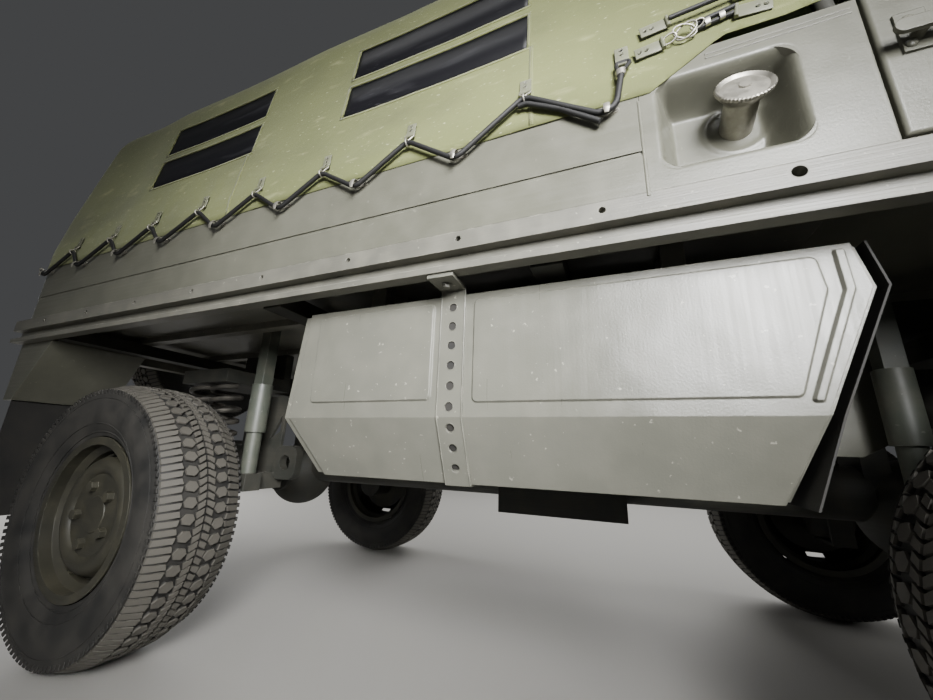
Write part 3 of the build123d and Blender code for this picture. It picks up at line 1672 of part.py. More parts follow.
keep(canvas_tilt.part, "canvas_tilt")

pane_plane = side_plane.offset(-seat_gap)
curtain_rise = roof_height + 10 - tilt_rear_lean_z
curtain_length = math.hypot(tilt_rear_lean, curtain_rise)
curtain_stretch = curtain_length / curtain_rise
curtain_plane = Plane(
    origin=(tilt_rear, 0, tilt_rear_lean_z),
    x_dir=(0, -1, 0),
    z_dir=(-curtain_rise / curtain_length, 0, tilt_rear_lean / curtain_length),
)
with BuildPart() as tilt_windows:
    with BuildSketch(pane_plane):
        for low, high in window_rows:
            for start, end in tilt_window_xs:
                with Locations(((start + end) / 2, ((low + high) / 2 - knee_height) * wing_stretch)):
                    Rectangle(end - start + 2 * window_lap, (high - low) * wing_stretch + 2 * window_lap)
    extrude(amount=-window_film)
    mirror(about=Plane.XZ)
    with BuildSketch(curtain_plane.offset(-canvas - seat_gap)):
        for low, high in window_rows:
            with Locations((0, ((low + high) / 2 - tilt_rear_lean_z) * curtain_stretch)):
                Rectangle(2 * (rear_window_half + window_lap), (high - low) * curtain_stretch + 2 * window_lap)
    extrude(amount=-window_film)
keep(tilt_windows.part, "tilt_windows")

shoulder_drop = eave_radius * math.sin(math.radians(90 - lean - roof_slope))
eave_line = eave_half + eave_height * lean_slope
hoop_crown = roof_height - hoop_inset
hoop_foot_z = wall_top + hoop_radius * lean_slope + seat_gap
hoop_corner_z = roof_height - 2.05 * shoulder_drop / 2.5
hoop_corner_y = eave_line - hoop_corner_z * lean_slope - hoop_inset
with BuildPart() as tilt_hoops:
    for x in hoop_xs:
        with BuildLine() as hoop_path:
            FilletPolyline(
                (x, -(hem_half - hoop_inset), hoop_foot_z),
                (x, -hoop_corner_y, hoop_corner_z),
                (x, 0, hoop_crown),
                (x, hoop_corner_y, hoop_corner_z),
                (x, hem_half - hoop_inset, hoop_foot_z),
                radius=hoop_bend,
            )
        with BuildSketch(Plane(origin=hoop_path.line @ 0, z_dir=hoop_path.line % 0)):
            Circle(hoop_radius)
        sweep(path=hoop_path.line)
keep(tilt_hoops.part, "tilt_hoops")

# Lacing: an elastic cord runs in a zigzag between horned hooks on the wall and rings on the tilt
lacing = [
    # kind, x, height of the cord there
    ("ring", 407, 1309),
    ("hook", 383, 1190),
    ("ring", 225, 1288),
    ("hook", 78, 1190),
    ("ring", -43, 1270),
    ("hook", -177, 1190),
    ("ring", -288, 1258),
    ("hook", -418, 1190),
    ("ring", -521, 1258),
    ("hook", -664, 1190),
    ("ring", -755, 1258),
    ("hook", -917, 1190),
    ("ring", -983, 1258),
    ("hook", -1143, 1190),
    ("ring", -1209, 1258),
    ("hook", -1386, 1190),
    ("ring", -1445, 1258),
    ("hook", -1615, 1192),
]
bend_radius = horn_radius + seat_gap + cord_radius
cord_y = hem_half + 2 * ring_wire + cord_radius + 2 * seat_gap


def bend_centre(before, at, after):
    """Centre of the cord's arc at one turn of the zigzag, as x and height."""
    back = Vector(before[0] - at[0], before[1] - at[1]).normalized()
    ahead = Vector(after[0] - at[0], after[1] - at[1]).normalized()
    half_angle = math.radians(back.get_angle(ahead)) / 2
    return Vector(at[0], at[1]) + (back + ahead).normalized() * (bend_radius / math.sin(half_angle))


turns = [(x, z) for kind, x, z in lacing]
with BuildPart() as lacing_cords:
    for side in (-1, 1):
        with BuildLine() as cord_path:
            FilletPolyline([(x, side * cord_y, z) for x, z in turns], radius=bend_radius)
        with BuildSketch(Plane(origin=cord_path.line @ 0, z_dir=cord_path.line % 0)):
            Circle(cord_radius)
        sweep(path=cord_path.line)
keep(lacing_cords.part, "lacing_cords")

with BuildPart() as lacing_hooks:
    for index, (kind, x, z) in enumerate(lacing):
        if kind == "hook":
            before = turns[index - 1]
            after = turns[index + 1] if index + 1 < len(turns) else (before[0] - 200, before[1])
            centre = bend_centre(before, turns[index], after)
            for side in (-1, 1):
                with Locations((centre.X, side * (half_body + cord_y + 10) / 2, centre.Y)):
                    Cylinder(horn_radius, cord_y + 10 - half_body, rotation=(90, 0, 0))
                block(
                    (centre.X - 13, centre.X + 13),
                    (side * half_body, side * (half_body + 3)),
                    (centre.Y - 14, centre.Y + 16),
                )
keep(lacing_hooks.part, "lacing_hooks")

# Each ring hangs from a riveted tab, upright below the canvas's knee and leaning above it
tab_plane = side_plane.offset((hem_half - half_body) / wing_stretch + seat_gap)
with BuildPart() as tilt_rings:
    for index, (kind, x, z) in enumerate(lacing):
        if kind == "ring":
            first = index == 0
            centre = Vector(x, z - bend_radius)
            if not first:
                centre = bend_centre(turns[index - 1], turns[index], turns[index + 1])
            apex = centre.Y + bend_radius
            # The ring is of six-sided bar
            ring_centre = (centre.X, -cord_y, apex)
            ring_plane = Plane(origin=ring_centre, x_dir=(0, 1, 0), z_dir=(1, 0, 0))
            with BuildSketch(ring_plane):
                with Locations((cord_radius + seat_gap + ring_wire, 0)):
                    RegularPolygon(ring_wire, 6)
            ring_axis = (0, 0, 1) if first else (1, 0, 0)
            revolve(axis=Axis(ring_centre, ring_axis))
            tab_foot = apex + tab_drop
            if tab_foot + tab_height / 2 > knee_height:
                with BuildSketch(tab_plane):
                    with Locations((centre.X, (tab_foot + tab_height / 2 - knee_height) * wing_stretch)):
                        Rectangle(tab_width, tab_height)
                extrude(amount=tab_thickness)
            else:
                block(
                    (centre.X - tab_width / 2, centre.X + tab_width / 2),
                    (-hem_half - seat_gap - tab_thickness, -hem_half - seat_gap),
                    (tab_foot, tab_foot + tab_height),
                )
    mirror(about=Plane.XZ)
keep(tilt_rings.part, "tilt_rings")
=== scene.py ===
# %% [markdown]
# # Dressing a light military cargo truck
# The steel parts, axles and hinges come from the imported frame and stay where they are. This notebook
# gives every surface its finish and adds what is soft or small: the canvas tilt, its elastic lacing,
# tyre treads, coil springs, rivets and seats. Lengths are metres, +X is forward, +Z is up.

# %% Load the frame
import json
import math

import bmesh
import bpy
from mathutils import Matrix, Vector, noise


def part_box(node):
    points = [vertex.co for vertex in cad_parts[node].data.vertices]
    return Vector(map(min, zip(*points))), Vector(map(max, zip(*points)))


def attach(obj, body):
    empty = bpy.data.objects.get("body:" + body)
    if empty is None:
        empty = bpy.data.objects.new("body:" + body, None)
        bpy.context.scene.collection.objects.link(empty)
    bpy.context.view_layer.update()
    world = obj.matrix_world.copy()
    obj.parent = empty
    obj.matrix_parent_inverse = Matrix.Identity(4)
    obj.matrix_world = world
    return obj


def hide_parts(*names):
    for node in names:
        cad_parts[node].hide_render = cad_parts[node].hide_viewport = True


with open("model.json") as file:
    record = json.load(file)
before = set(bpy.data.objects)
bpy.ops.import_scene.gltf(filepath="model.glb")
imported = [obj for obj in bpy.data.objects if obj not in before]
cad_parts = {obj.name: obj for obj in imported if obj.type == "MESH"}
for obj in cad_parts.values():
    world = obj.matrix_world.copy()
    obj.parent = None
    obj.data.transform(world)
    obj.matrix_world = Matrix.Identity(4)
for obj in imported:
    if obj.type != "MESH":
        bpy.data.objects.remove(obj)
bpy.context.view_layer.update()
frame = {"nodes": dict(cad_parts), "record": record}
nodes = frame["nodes"]
print("CAD nodes:", len(nodes))

# %% [markdown]
# ## Camera
# The photograph was taken from knee height with a very wide lens, close to the fuel tank. Its place
# and angles were solved from the straight edges of the truck, so the same numbers go in here.

# %% Camera
PHOTO_WIDTH = 933
FOCAL_PIXELS = 372.2
SENSOR_WIDTH = 36.0
camera_place = Vector((0.359, -1.476, 0.601))
camera_yaw = math.radians(22.55)
camera_pitch = math.radians(15.22)
camera_roll = math.radians(1.88)

flat_right = Vector((math.cos(camera_yaw), math.sin(camera_yaw), 0))
ahead = Vector((
    -math.sin(camera_yaw) * math.cos(camera_pitch),
    math.cos(camera_yaw) * math.cos(camera_pitch),
    math.sin(camera_pitch),
))
level_up = flat_right.cross(ahead)
camera_right = math.cos(camera_roll) * flat_right + math.sin(camera_roll) * level_up
camera_up = -math.sin(camera_roll) * flat_right + math.cos(camera_roll) * level_up

lens = bpy.data.cameras.new("camera")
lens.sensor_width = SENSOR_WIDTH
lens.sensor_fit = "HORIZONTAL"
lens.lens = FOCAL_PIXELS / PHOTO_WIDTH * SENSOR_WIDTH
lens.clip_start = 0.02
camera = bpy.data.objects.new("camera", lens)
turn = Matrix((camera_right, camera_up, -ahead)).transposed().to_4x4()
camera.matrix_world = Matrix.Translation(camera_place) @ turn
bpy.context.scene.collection.objects.link(camera)
bpy.context.scene.camera = camera

# %% [markdown]
# ## Helpers for finishes
# Colours are picked as sRGB hex, the way they are seen, and turned to linear light once. One small
# function adds a node with its settings and links, so each finish reads as a short recipe.


# %% Colour and node helpers
def linear(code):
    """A colour given as sRGB hex, in linear light."""
    shares = [int(code[place:place + 2], 16) / 255 for place in (1, 3, 5)]
    channels = [c / 12.92 if c <= 0.04045 else ((c + 0.055) / 1.055) ** 2.4 for c in shares]
    return (*channels, 1.0)


def add_node(finish, kind, inputs=None, **settings):
    """Adds a node; each input takes a value or another node's output."""
    made = finish.node_tree.nodes.new(kind)
    for name, value in settings.items():
        setattr(made, name, value)
    for key, value in (inputs or {}).items():
        socket = made.inputs[key]
        if isinstance(value, bpy.types.NodeSocket):
            finish.node_tree.links.new(value, socket)
        else:
            socket.default_value = value
    return made


def new_finish(name):
    """An empty material with its surface shader, and the piece's own coordinates."""
    finish = bpy.data.materials.new(name)
    finish.use_nodes = True
    shader = finish.node_tree.nodes["Principled BSDF"]
    place = add_node(finish, "ShaderNodeTexCoord").outputs["Object"]
    return finish, shader, place


def set_shader(finish, shader, **inputs):
    """Sets or links the shader's sockets, by their names with _ for a space."""
    for name, value in inputs.items():
        socket = shader.inputs[name.replace("_", " ")]
        if isinstance(value, bpy.types.NodeSocket):
            finish.node_tree.links.new(value, socket)
        else:
            socket.default_value = value


def stretched(finish, place, scale):
    """Coordinates scaled by different amounts along X, Y and Z."""
    inputs = {"Vector": place, "Scale": scale}
    return add_node(finish, "ShaderNodeMapping", inputs).outputs["Vector"]


def noise_at(finish, place, scale, detail):
    """Fractal noise about one half."""
    inputs = {"Vector": place, "Scale": scale, "Detail": detail}
    return add_node(finish, "ShaderNodeTexNoise", inputs).outputs["Fac"]


def ramp(finish, value, low, high):
    """0 where the value is low, 1 where it is high."""
    inputs = {"Value": value, "From Min": low, "From Max": high}
    return add_node(finish, "ShaderNodeMapRange", inputs).outputs["Result"]


def noise_mask(finish, place, scale, detail, low, high):
    """Fractal noise with its values between low and high spread to 0 and 1."""
    return ramp(finish, noise_at(finish, place, scale, detail), low, high)


def spread_to(finish, value, low, high):
    """A 0 to 1 value spread from low to high."""
    inputs = {"Value": value, "To Min": low, "To Max": high}
    return add_node(finish, "ShaderNodeMapRange", inputs).outputs["Result"]


def mixed(finish, share, first, second):
    """Two colours mixed by a share."""
    inputs = {0: share, 6: first, 7: second}
    return add_node(finish, "ShaderNodeMix", inputs, data_type="RGBA").outputs[2]


def combined(finish, operation, first, second):
    """Two values put together by an arithmetic operation."""
    inputs = {0: first, 1: second}
    return add_node(finish, "ShaderNodeMath", inputs, operation=operation).outputs[0]


def times(finish, first, second):
    return combined(finish, "MULTIPLY", first, second)


def bumped(finish, height, distance, normal=None, strength=1.0):
    """A normal roughened by a height, on top of another normal."""
    inputs = {"Height": height, "Distance": distance, "Strength": strength}
    if normal is not None:
        inputs["Normal"] = normal
    return add_node(finish, "ShaderNodeBump", inputs).outputs["Normal"]


# %% [markdown]
# ## Paint
# The truck wears many coats of alkyd enamel, brushed and rolled over sheet steel. That gives the eye
# a satin sheen with faint brush streaks, a slight orange peel, a film of dust on what faces up, and
# a paler, rubbed line along the edges. The edges are found by comparing the true normal with one
# that is averaged over a few millimetres.


# %% Enamel paint
def edge_mask(finish, radius, low, high):
    """1 near the edges of the steel, 0 on its flats."""
    soft = add_node(finish, "ShaderNodeBevel", {"Radius": radius}, samples=4).outputs["Normal"]
    true = add_node(finish, "ShaderNodeNewGeometry").outputs["True Normal"]
    match = add_node(finish, "ShaderNodeVectorMath", {0: soft, 1: true}, operation="DOT_PRODUCT")
    return ramp(finish, match.outputs["Value"], high, low)


def facing_up(finish, low, high):
    """1 on what faces the sky."""
    normal = add_node(finish, "ShaderNodeNewGeometry").outputs["Normal"]
    height = add_node(finish, "ShaderNodeSeparateXYZ", {"Vector": normal}).outputs["Z"]
    return ramp(finish, height, low, high)


def enamel(name, coat, worn, dust, dust_share, roughness, streak_scale=(3, 3, 160),
           dented=0.0, chips=0.3, brushed=0.08):
    """Brushed alkyd enamel on sheet steel, with dust, stone chips, rubbed edges and soft dents."""
    finish, shader, place = new_finish(name)
    patches = noise_mask(finish, place, 2.2, 6, 0.3, 0.7)
    deeper = tuple(channel * 0.80 for channel in linear(coat)[:3]) + (1.0,)
    tone = mixed(finish, patches, deeper, linear(coat))
    settled = times(finish, facing_up(finish, 0.2, 1.0), noise_mask(finish, place, 9, 8, 0.25, 0.75))
    film = noise_mask(finish, place, 16, 10, 0.42, 0.95)
    dusty = times(finish, combined(finish, "MAXIMUM", settled, film), dust_share)
    tone = mixed(finish, dusty, tone, linear(dust))
    specks = noise_mask(finish, place, 85, 4, 0.69, 0.73)
    tone = mixed(finish, times(finish, specks, chips), tone, linear(worn))
    thin_spots = noise_mask(finish, place, 35, 6, 0.45, 0.75)
    rubbed = times(finish, edge_mask(finish, 0.0035, 0.80, 0.995), thin_spots)
    tone = mixed(finish, rubbed, tone, linear(worn))
    streaks = noise_mask(finish, stretched(finish, place, streak_scale), 1.0, 5, 0.3, 0.7)
    gloss = spread_to(finish, streaks, roughness - 0.03, roughness + 0.06)
    gloss = combined(finish, "ADD", gloss, times(finish, dusty, 0.35))
    round_edge = add_node(finish, "ShaderNodeBevel", {"Radius": 0.0025}, samples=4).outputs["Normal"]
    peel = noise_at(finish, place, 260.0, 2.0)
    normal = bumped(finish, peel, 0.0004, round_edge, 0.5)
    normal = bumped(finish, streaks, 0.0005, normal, brushed)
    dents = noise_at(finish, place, 5.5, 2.0)
    normal = bumped(finish, dents, 0.010, normal, dented)
    set_shader(finish, shader, Base_Color=tone, Roughness=gloss, Normal=normal, Metallic=0.0, IOR=1.5)
    return finish


body_enamel = enamel("body_enamel", "#5f5f54", "#8a897c", "#7d7b70", 0.30, 0.32, dented=0.25)
tank_enamel = enamel("tank_enamel", "#66665d", "#a09e91", "#827f74", 0.28, 0.30, (160, 3, 3),
                     dented=0.5, chips=0.7)
rail_enamel = enamel("rail_enamel", "#63625a", "#a19f92", "#8b887a", 0.45, 0.40, (4, 4, 420),
                     chips=0.6, brushed=0.35)
chassis_enamel = enamel("chassis_enamel", "#2b2c27", "#45443d", "#4d483e", 0.60, 0.62)
wheel_enamel = enamel("wheel_enamel", "#302f27", "#5b594c", "#55513f", 0.50, 0.48)
shock_enamel = enamel("shock_enamel", "#474b43", "#93948a", "#746f62", 0.45, 0.42)
mirror_enamel = enamel("mirror_enamel", "#22231e", "#43433b", "#454238", 0.30, 0.45)
tab_enamel = enamel("tab_enamel", "#6a6c58", "#a8a698", "#7f7c6c", 0.35, 0.45, chips=0.8)

# %% [markdown]
# ## Metals left bare
# Hooks and rings are galvanised steel gone dull; the filler cap is zinc-plated; springs are
# bare spring steel under road dust; the exhaust is mild steel with a skin of rust.


# %% Bare metals
def bare_metal(name, steel, grime, grime_share, roughness, grain):
    """Weathered bare metal, with grime in patches."""
    finish, shader, place = new_finish(name)
    patches = times(finish, noise_mask(finish, place, grain, 8, 0.35, 0.7), grime_share)
    tone = mixed(finish, patches, linear(steel), linear(grime))
    gloss = spread_to(finish, patches, roughness, min(1.0, roughness + 0.4))
    shine = spread_to(finish, patches, 1.0, 0.25)
    pits = noise_at(finish, place, grain * 12, 3.0)
    normal = bumped(finish, pits, 0.0003, None, 0.4)
    set_shader(finish, shader, Base_Color=tone, Roughness=gloss, Metallic=shine, Normal=normal)
    return finish


hook_galvanised = bare_metal("hook_galvanised", "#b4b1a6", "#4e4a42", 0.6, 0.38, 90)
cap_zinc = bare_metal("cap_zinc", "#a9a69c", "#5a564c", 0.5, 0.36, 60)
spring_steel = bare_metal("spring_steel", "#5d5b56", "#3a352d", 0.9, 0.40, 40)
exhaust_rust = bare_metal("exhaust_rust", "#6d665e", "#5a3a26", 1.0, 0.55, 25)
engine_iron = bare_metal("engine_iron", "#55544f", "#2c2a26", 0.9, 0.60, 20)

# %% [markdown]
# ## Rubber, film, cloth and glass
# Rubber is matt carbon black that holds pale road dust. The tops of a tyre's tread blocks get a
# painted highlight, paler than the grooves, so the grooves read as painted shade; a UV map made with
# each tyre says how high above the grooves a point lies. The tilt is cotton duck: its real threads
# are 0.7 mm apart, too fine for the picture, so the weave is drawn four times as coarse. Its pattern
# follows the cloth through the UV map, laid out in metres.


# %% Rubber
def dusty_rubber(name, rubber, dust, dust_share, roughness, lit_tread_tops=False):
    """Carbon-black rubber with road dust; the tops of a tyre's blocks get a painted highlight."""
    finish, shader, place = new_finish(name)
    clouds = times(finish, noise_mask(finish, place, 14, 9, 0.3, 0.75), dust_share)
    tone = mixed(finish, clouds, linear(rubber), linear(dust))
    if lit_tread_tops:
        # Painted highlight: the tread block tops are mixed paler than the grooves, for light on the tops and
        # shade in the grooves.
        tread = add_node(finish, "ShaderNodeUVMap", uv_map="tread").outputs["UV"]
        height = add_node(finish, "ShaderNodeSeparateXYZ", {"Vector": tread}).outputs["Y"]
        top = ramp(finish, height, 0.0035, 0.0062)
        tone = mixed(finish, times(finish, top, 0.8), tone, linear("#59564f"))
    grain = noise_at(finish, place, 420.0, 3.0)
    normal = bumped(finish, grain, 0.0006, None, 0.5)
    gloss = spread_to(finish, clouds, roughness, 0.95)
    set_shader(finish, shader, Base_Color=tone, Roughness=gloss, Normal=normal, IOR=1.5)
    return finish


tyre_rubber = dusty_rubber("tyre_rubber", "#171716", "#4b4842", 0.45, 0.66, lit_tread_tops=True)
cord_rubber = dusty_rubber("cord_rubber", "#0a0a0b", "#2e2c28", 0.15, 0.62)
flap_rubber = dusty_rubber("flap_rubber", "#171716", "#3f3b35", 0.40, 0.70)
wheel_plastic = dusty_rubber("wheel_plastic", "#17171a", "#3b3834", 0.15, 0.42)

# %% Cotton duck
THREAD_SPACING = 0.0028
STITCH_INSET = 0.003
STITCH_PITCH = 0.0048


def stitch_rows(finish, normal, tone):
    """Stitches 3 mm in from each edge of a strip, added to its normal and its colour."""
    edge = add_node(finish, "ShaderNodeUVMap", uv_map="edge").outputs["UV"]
    parts = add_node(finish, "ShaderNodeSeparateXYZ", {"Vector": edge})
    off = combined(finish, "SUBTRACT", parts.outputs["Y"], STITCH_INSET)
    off = add_node(finish, "ShaderNodeMath", {0: off}, operation="ABSOLUTE").outputs[0]
    beat = combined(finish, "PINGPONG", parts.outputs["X"], STITCH_PITCH / 2)
    row = ramp(finish, off, 0.0009, 0.0004)
    dash = ramp(finish, beat, 0.0003, 0.0009)
    thread = times(finish, row, dash)
    tone = mixed(finish, times(finish, thread, 0.7), tone, linear("#8f9068"))
    return bumped(finish, thread, 0.0008, normal, 1.0), tone


def cotton_duck(name, cloth, faded, soil, stitched=False):
    """Woven cotton tilt cloth, proofed, sun-faded and dusty."""
    finish, shader, place = new_finish(name)
    cut = add_node(finish, "ShaderNodeUVMap", uv_map="cloth").outputs["UV"]
    fade = noise_mask(finish, cut, 1.6, 8, 0.3, 0.7)
    tone = mixed(finish, fade, linear(cloth), linear(faded))
    marks = (
        # scuffs, flecks and stains: stretch, detail, low, high, strength, colour
        ((9, 26, 1), 10, 0.60, 0.74, 0.60, "#9b9d70"),
        ((60, 120, 1), 6, 0.64, 0.74, 0.75, "#b9ba94"),
        ((3, 5, 1), 7, 0.50, 0.85, 0.85, soil),
    )
    for stretch, detail, low, high, strength, colour in marks:
        mark = noise_mask(finish, stretched(finish, cut, stretch), 1.0, detail, low, high)
        tone = mixed(finish, times(finish, mark, strength), tone, linear(colour))
    bands = {"Vector": cut, "Scale": math.tau / THREAD_SPACING / 20, "Distortion": 0.6}
    warp = add_node(finish, "ShaderNodeTexWave", bands, bands_direction="X").outputs["Fac"]
    weft = add_node(finish, "ShaderNodeTexWave", bands, bands_direction="Y").outputs["Fac"]
    weave = combined(finish, "MAXIMUM", warp, weft)
    tone = mixed(finish, times(finish, weave, 0.12), tone, linear(faded))
    normal = bumped(finish, weave, 0.0006, None, 0.45)
    slubs = noise_at(finish, cut, 60.0, 8.0)
    normal = bumped(finish, slubs, 0.002, normal, 0.4)
    if stitched:
        normal, tone = stitch_rows(finish, normal, tone)
    set_shader(finish, shader, Base_Color=tone, Normal=normal, Roughness=0.88, Sheen_Weight=0.15, IOR=1.45)
    return finish


tilt_duck = cotton_duck("tilt_duck", "#5b6038", "#6f7446", "#45472c")
stitched_duck = cotton_duck("stitched_duck", "#5f643c", "#73784a", "#484a2f", stitched=True)


# %% Window film, glass, leathercloth and wood
def scratched_film(name, film, haze, roughness):
    """Soft vinyl window film, hazed by rubbing and rolling up."""
    finish, shader, place = new_finish(name)
    smear = noise_mask(finish, stretched(finish, place, (5, 5, 30)), 1.0, 9, 0.55, 0.85)
    lines = noise_mask(finish, stretched(finish, place, (30, 30, 260)), 1.0, 4, 0.62, 0.72)
    rubbed = times(finish, lines, noise_mask(finish, place, 4, 4, 0.45, 0.70))
    marks = combined(finish, "ADD", times(finish, smear, 0.30), times(finish, rubbed, 0.6))
    tone = mixed(finish, marks, linear(film), linear(haze))
    ripple = noise_at(finish, place, 18.0, 2.0)
    normal = bumped(finish, ripple, 0.002, None, 0.3)
    gloss = spread_to(finish, marks, roughness, 0.7)
    set_shader(finish, shader, Base_Color=tone, Roughness=gloss, Normal=normal, Specular_IOR_Level=0.25)
    return finish


def clear_glass(name, tint, haze_share):
    """Flat glass with a thin film of dust."""
    finish, shader, place = new_finish(name)
    film = times(finish, noise_mask(finish, place, 7, 9, 0.4, 0.9), haze_share)
    gloss = spread_to(finish, film, 0.02, 0.4)
    tone = mixed(finish, film, linear(tint), linear("#a8a69c"))
    set_shader(finish, shader, Base_Color=tone, Roughness=gloss, Transmission_Weight=0.92, IOR=1.5)
    return finish


def leathercloth(name, hide, crease):
    """Grained vinyl-coated seat cloth."""
    finish, shader, place = new_finish(name)
    pebbles = add_node(finish, "ShaderNodeTexVoronoi", {"Vector": place, "Scale": 340.0}).outputs["Distance"]
    tone = mixed(finish, noise_mask(finish, place, 5, 6, 0.3, 0.7), linear(hide), linear(crease))
    normal = bumped(finish, pebbles, 0.0008, None, 0.6)
    set_shader(finish, shader, Base_Color=tone, Roughness=0.52, Normal=normal, IOR=1.5)
    return finish


def varnished_ash(name, pale, dark):
    """Ash slats under worn varnish, grain along the truck."""
    finish, shader, place = new_finish(name)
    grain = noise_mask(finish, stretched(finish, place, (1.5, 60, 60)), 1.0, 8, 0.35, 0.7)
    tone = mixed(finish, grain, linear(pale), linear(dark))
    normal = bumped(finish, grain, 0.0006, None, 0.4)
    set_shader(finish, shader, Base_Color=tone, Roughness=0.45, Normal=normal, IOR=1.5)
    return finish


window_film = scratched_film("window_film", "#0e0e12", "#58585c", 0.50)
cab_glass = clear_glass("cab_glass", "#dfe8e4", 0.25)
lamp_glass = clear_glass("lamp_glass", "#f2f2ec", 0.15)
tail_red = clear_glass("tail_red", "#8c1410", 0.2)
seat_leathercloth = leathercloth("seat_leathercloth", "#3f4232", "#2f3126")
bench_ash = varnished_ash("bench_ash", "#8a6b42", "#5c4226")

# %% [markdown]
# ## Finishes on the steel frame
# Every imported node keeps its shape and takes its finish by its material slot.

# %% Finish of each slot
finishes = {
    "body_paint": body_enamel,
    "wall_paint": body_enamel,
    "chassis_paint": chassis_enamel,
    "tank_paint": tank_enamel,
    "wheel_paint": wheel_enamel,
    "shock_paint": shock_enamel,
    "mirror_paint": mirror_enamel,
    "canvas": tilt_duck,
    "window_film": window_film,
    "tyre": tyre_rubber,
    "cord": cord_rubber,
    "hook_steel": hook_galvanised,
    "cap_steel": cap_zinc,
    "spring_steel": spring_steel,
    "exhaust_steel": exhaust_rust,
    "engine_iron": engine_iron,
    "glass": cab_glass,
    "lamp_glass": lamp_glass,
    "tail_lens": tail_red,
    "flap_rubber": flap_rubber,
    "seat_cover": seat_leathercloth,
    "slat_wood": bench_ash,
    "wheel_plastic": wheel_plastic,
}
own_finishes = {"cargo_floor": rail_enamel, "splash_guard": flap_rubber}
for entry in frame["record"]["subparts"]:
    steel = nodes[entry["node"]]
    steel.data.materials.clear()
    steel.data.materials.append(own_finishes.get(entry["node"], finishes[entry["material_slot"]]))

# %% [markdown]
# ## Helpers for pieces
# A piece starts as a bmesh, becomes a mesh with smooth faces and sharp creases, and rides on the
# body that carries it. Small repeated things are modelled once and stamped where they are needed.


# %% Piece helpers
def add_piece(name, bm, slot, body="truck", crease=35, finish=None):
    """Makes the bmesh a finished piece on a body."""
    mesh = bpy.data.meshes.new(name)
    bm.to_mesh(mesh)
    bm.free()
    mesh.materials.append(finish or finishes[slot])
    mesh.polygons.foreach_set("use_smooth", [True] * len(mesh.polygons))
    mesh.set_sharp_from_angle(angle=math.radians(crease))
    piece = bpy.data.objects.new(name, mesh)
    bpy.context.scene.collection.objects.link(piece)
    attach(piece, body)
    print(name, "faces:", len(mesh.polygons))
    return piece


def stamp(bm, pattern, place):
    """Adds a copy of a small mesh to bm at a place."""
    copy = pattern.copy()
    copy.transform(place)
    bm.from_mesh(copy)
    bpy.data.meshes.remove(copy)


def pattern_of(name, bm):
    """Keeps a bmesh as a mesh to stamp."""
    mesh = bpy.data.meshes.new(name)
    bm.to_mesh(mesh)
    bm.free()
    return mesh


def face_outward(bm):
    bmesh.ops.recalc_face_normals(bm, faces=bm.faces[:])


def edges_at(verts):
    """The edges that meet at the corners."""
    return list({edge for vert in verts for edge in vert.link_edges})


def only(kind, parts):
    """The parts of one kind among an operator's results."""
    return [part for part in parts if isinstance(part, kind)]


def slice_off(bm, point, outward, dist=1e-5):
    """Cuts off what lies beyond a plane; gives the edges of the cut."""
    cut = bmesh.ops.bisect_plane(bm, geom=bm.verts[:] + bm.edges[:] + bm.faces[:], dist=dist,
                                 plane_co=point, plane_no=outward, clear_outer=True)
    return only(bmesh.types.BMEdge, cut["geom_cut"])


def spin_round(bm, geom, axis, steps):
    """Spins a profile once round an axis through the origin."""
    bmesh.ops.spin(bm, geom=geom, cent=(0, 0, 0), axis=axis, angle=math.tau, steps=steps, use_merge=True)


def add_profile(bm, points):
    """A row of corners joined by edges, to be spun."""
    row = [bm.verts.new(point) for point in points]
    return row + [bm.edges.new(pair) for pair in zip(row, row[1:])]


def add_slab(bm, low, high, bevel):
    """A block between two corners, its edges bevelled."""
    start = Vector(low)
    size = Vector(high) - start
    place = Matrix.Translation(start + size / 2) @ Matrix.Diagonal((*size, 1))
    made = bmesh.ops.create_cube(bm, size=1, matrix=place)
    bmesh.ops.bevel(bm, geom=edges_at(made["verts"]), offset=bevel, segments=2, profile=0.5,
                    affect="EDGES", material=-1)


def add_rod(bm, start, end, radius, sides):
    """A round rod from point to point, capped."""
    start, end = Vector(start), Vector(end)
    along = end - start
    place = Matrix.Translation((start + end) / 2) @ along.to_track_quat("Z", "Y").to_matrix().to_4x4()
    bmesh.ops.create_cone(bm, cap_ends=True, segments=sides, radius1=radius, radius2=radius,
                          depth=along.length, matrix=place)


# %% [markdown]
# ## Canvas tilt
# The tilt is one cloth from the rail of one side, over the hoops, to the other side, and round the
# rear corners; a curtain closes its back and a short header its front. Like a tailor, the script
# lays the cloth out flat, cuts the windows and the door openings out of the flat sheet, and only
# then bends it over the hoops, so that the UV map and the weave follow the cloth.

# %% Shape of the tilt
tilt_low, tilt_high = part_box("canvas_tilt")
CANVAS_THICKNESS = 0.0016
TILT_KNEE = 1.296
EAVE_HALF = 0.820
EAVE_HEIGHT = 1.815
EAVE_RADIUS = 0.180
ROOF_SLOPE = math.radians(13)
CORNER_RADIUS = 0.075
CURTAIN_KNEE = 1.440
CURTAIN_LEAN = 0.100
CELL = 0.020

hem_half = tilt_high.y - 0.0012
hem = tilt_low.z
crown = tilt_high.z - 0.0012
side_run = Vector((hem_half - EAVE_HALF, EAVE_HEIGHT - TILT_KNEE))
side_lean = math.atan2(side_run.x, side_run.y)
shoulder_turn = math.pi / 2 - ROOF_SLOPE - side_lean
roof_chord_half = EAVE_HALF - EAVE_RADIUS * (math.cos(side_lean) - math.sin(ROOF_SLOPE))
shoulder_end = EAVE_HEIGHT + EAVE_RADIUS * (math.cos(ROOF_SLOPE) - math.sin(side_lean))
roof_rise = crown - shoulder_end
roof_radius = (roof_chord_half ** 2 + roof_rise ** 2) / (2 * roof_rise)
roof_half_angle = math.asin(roof_chord_half / roof_radius)

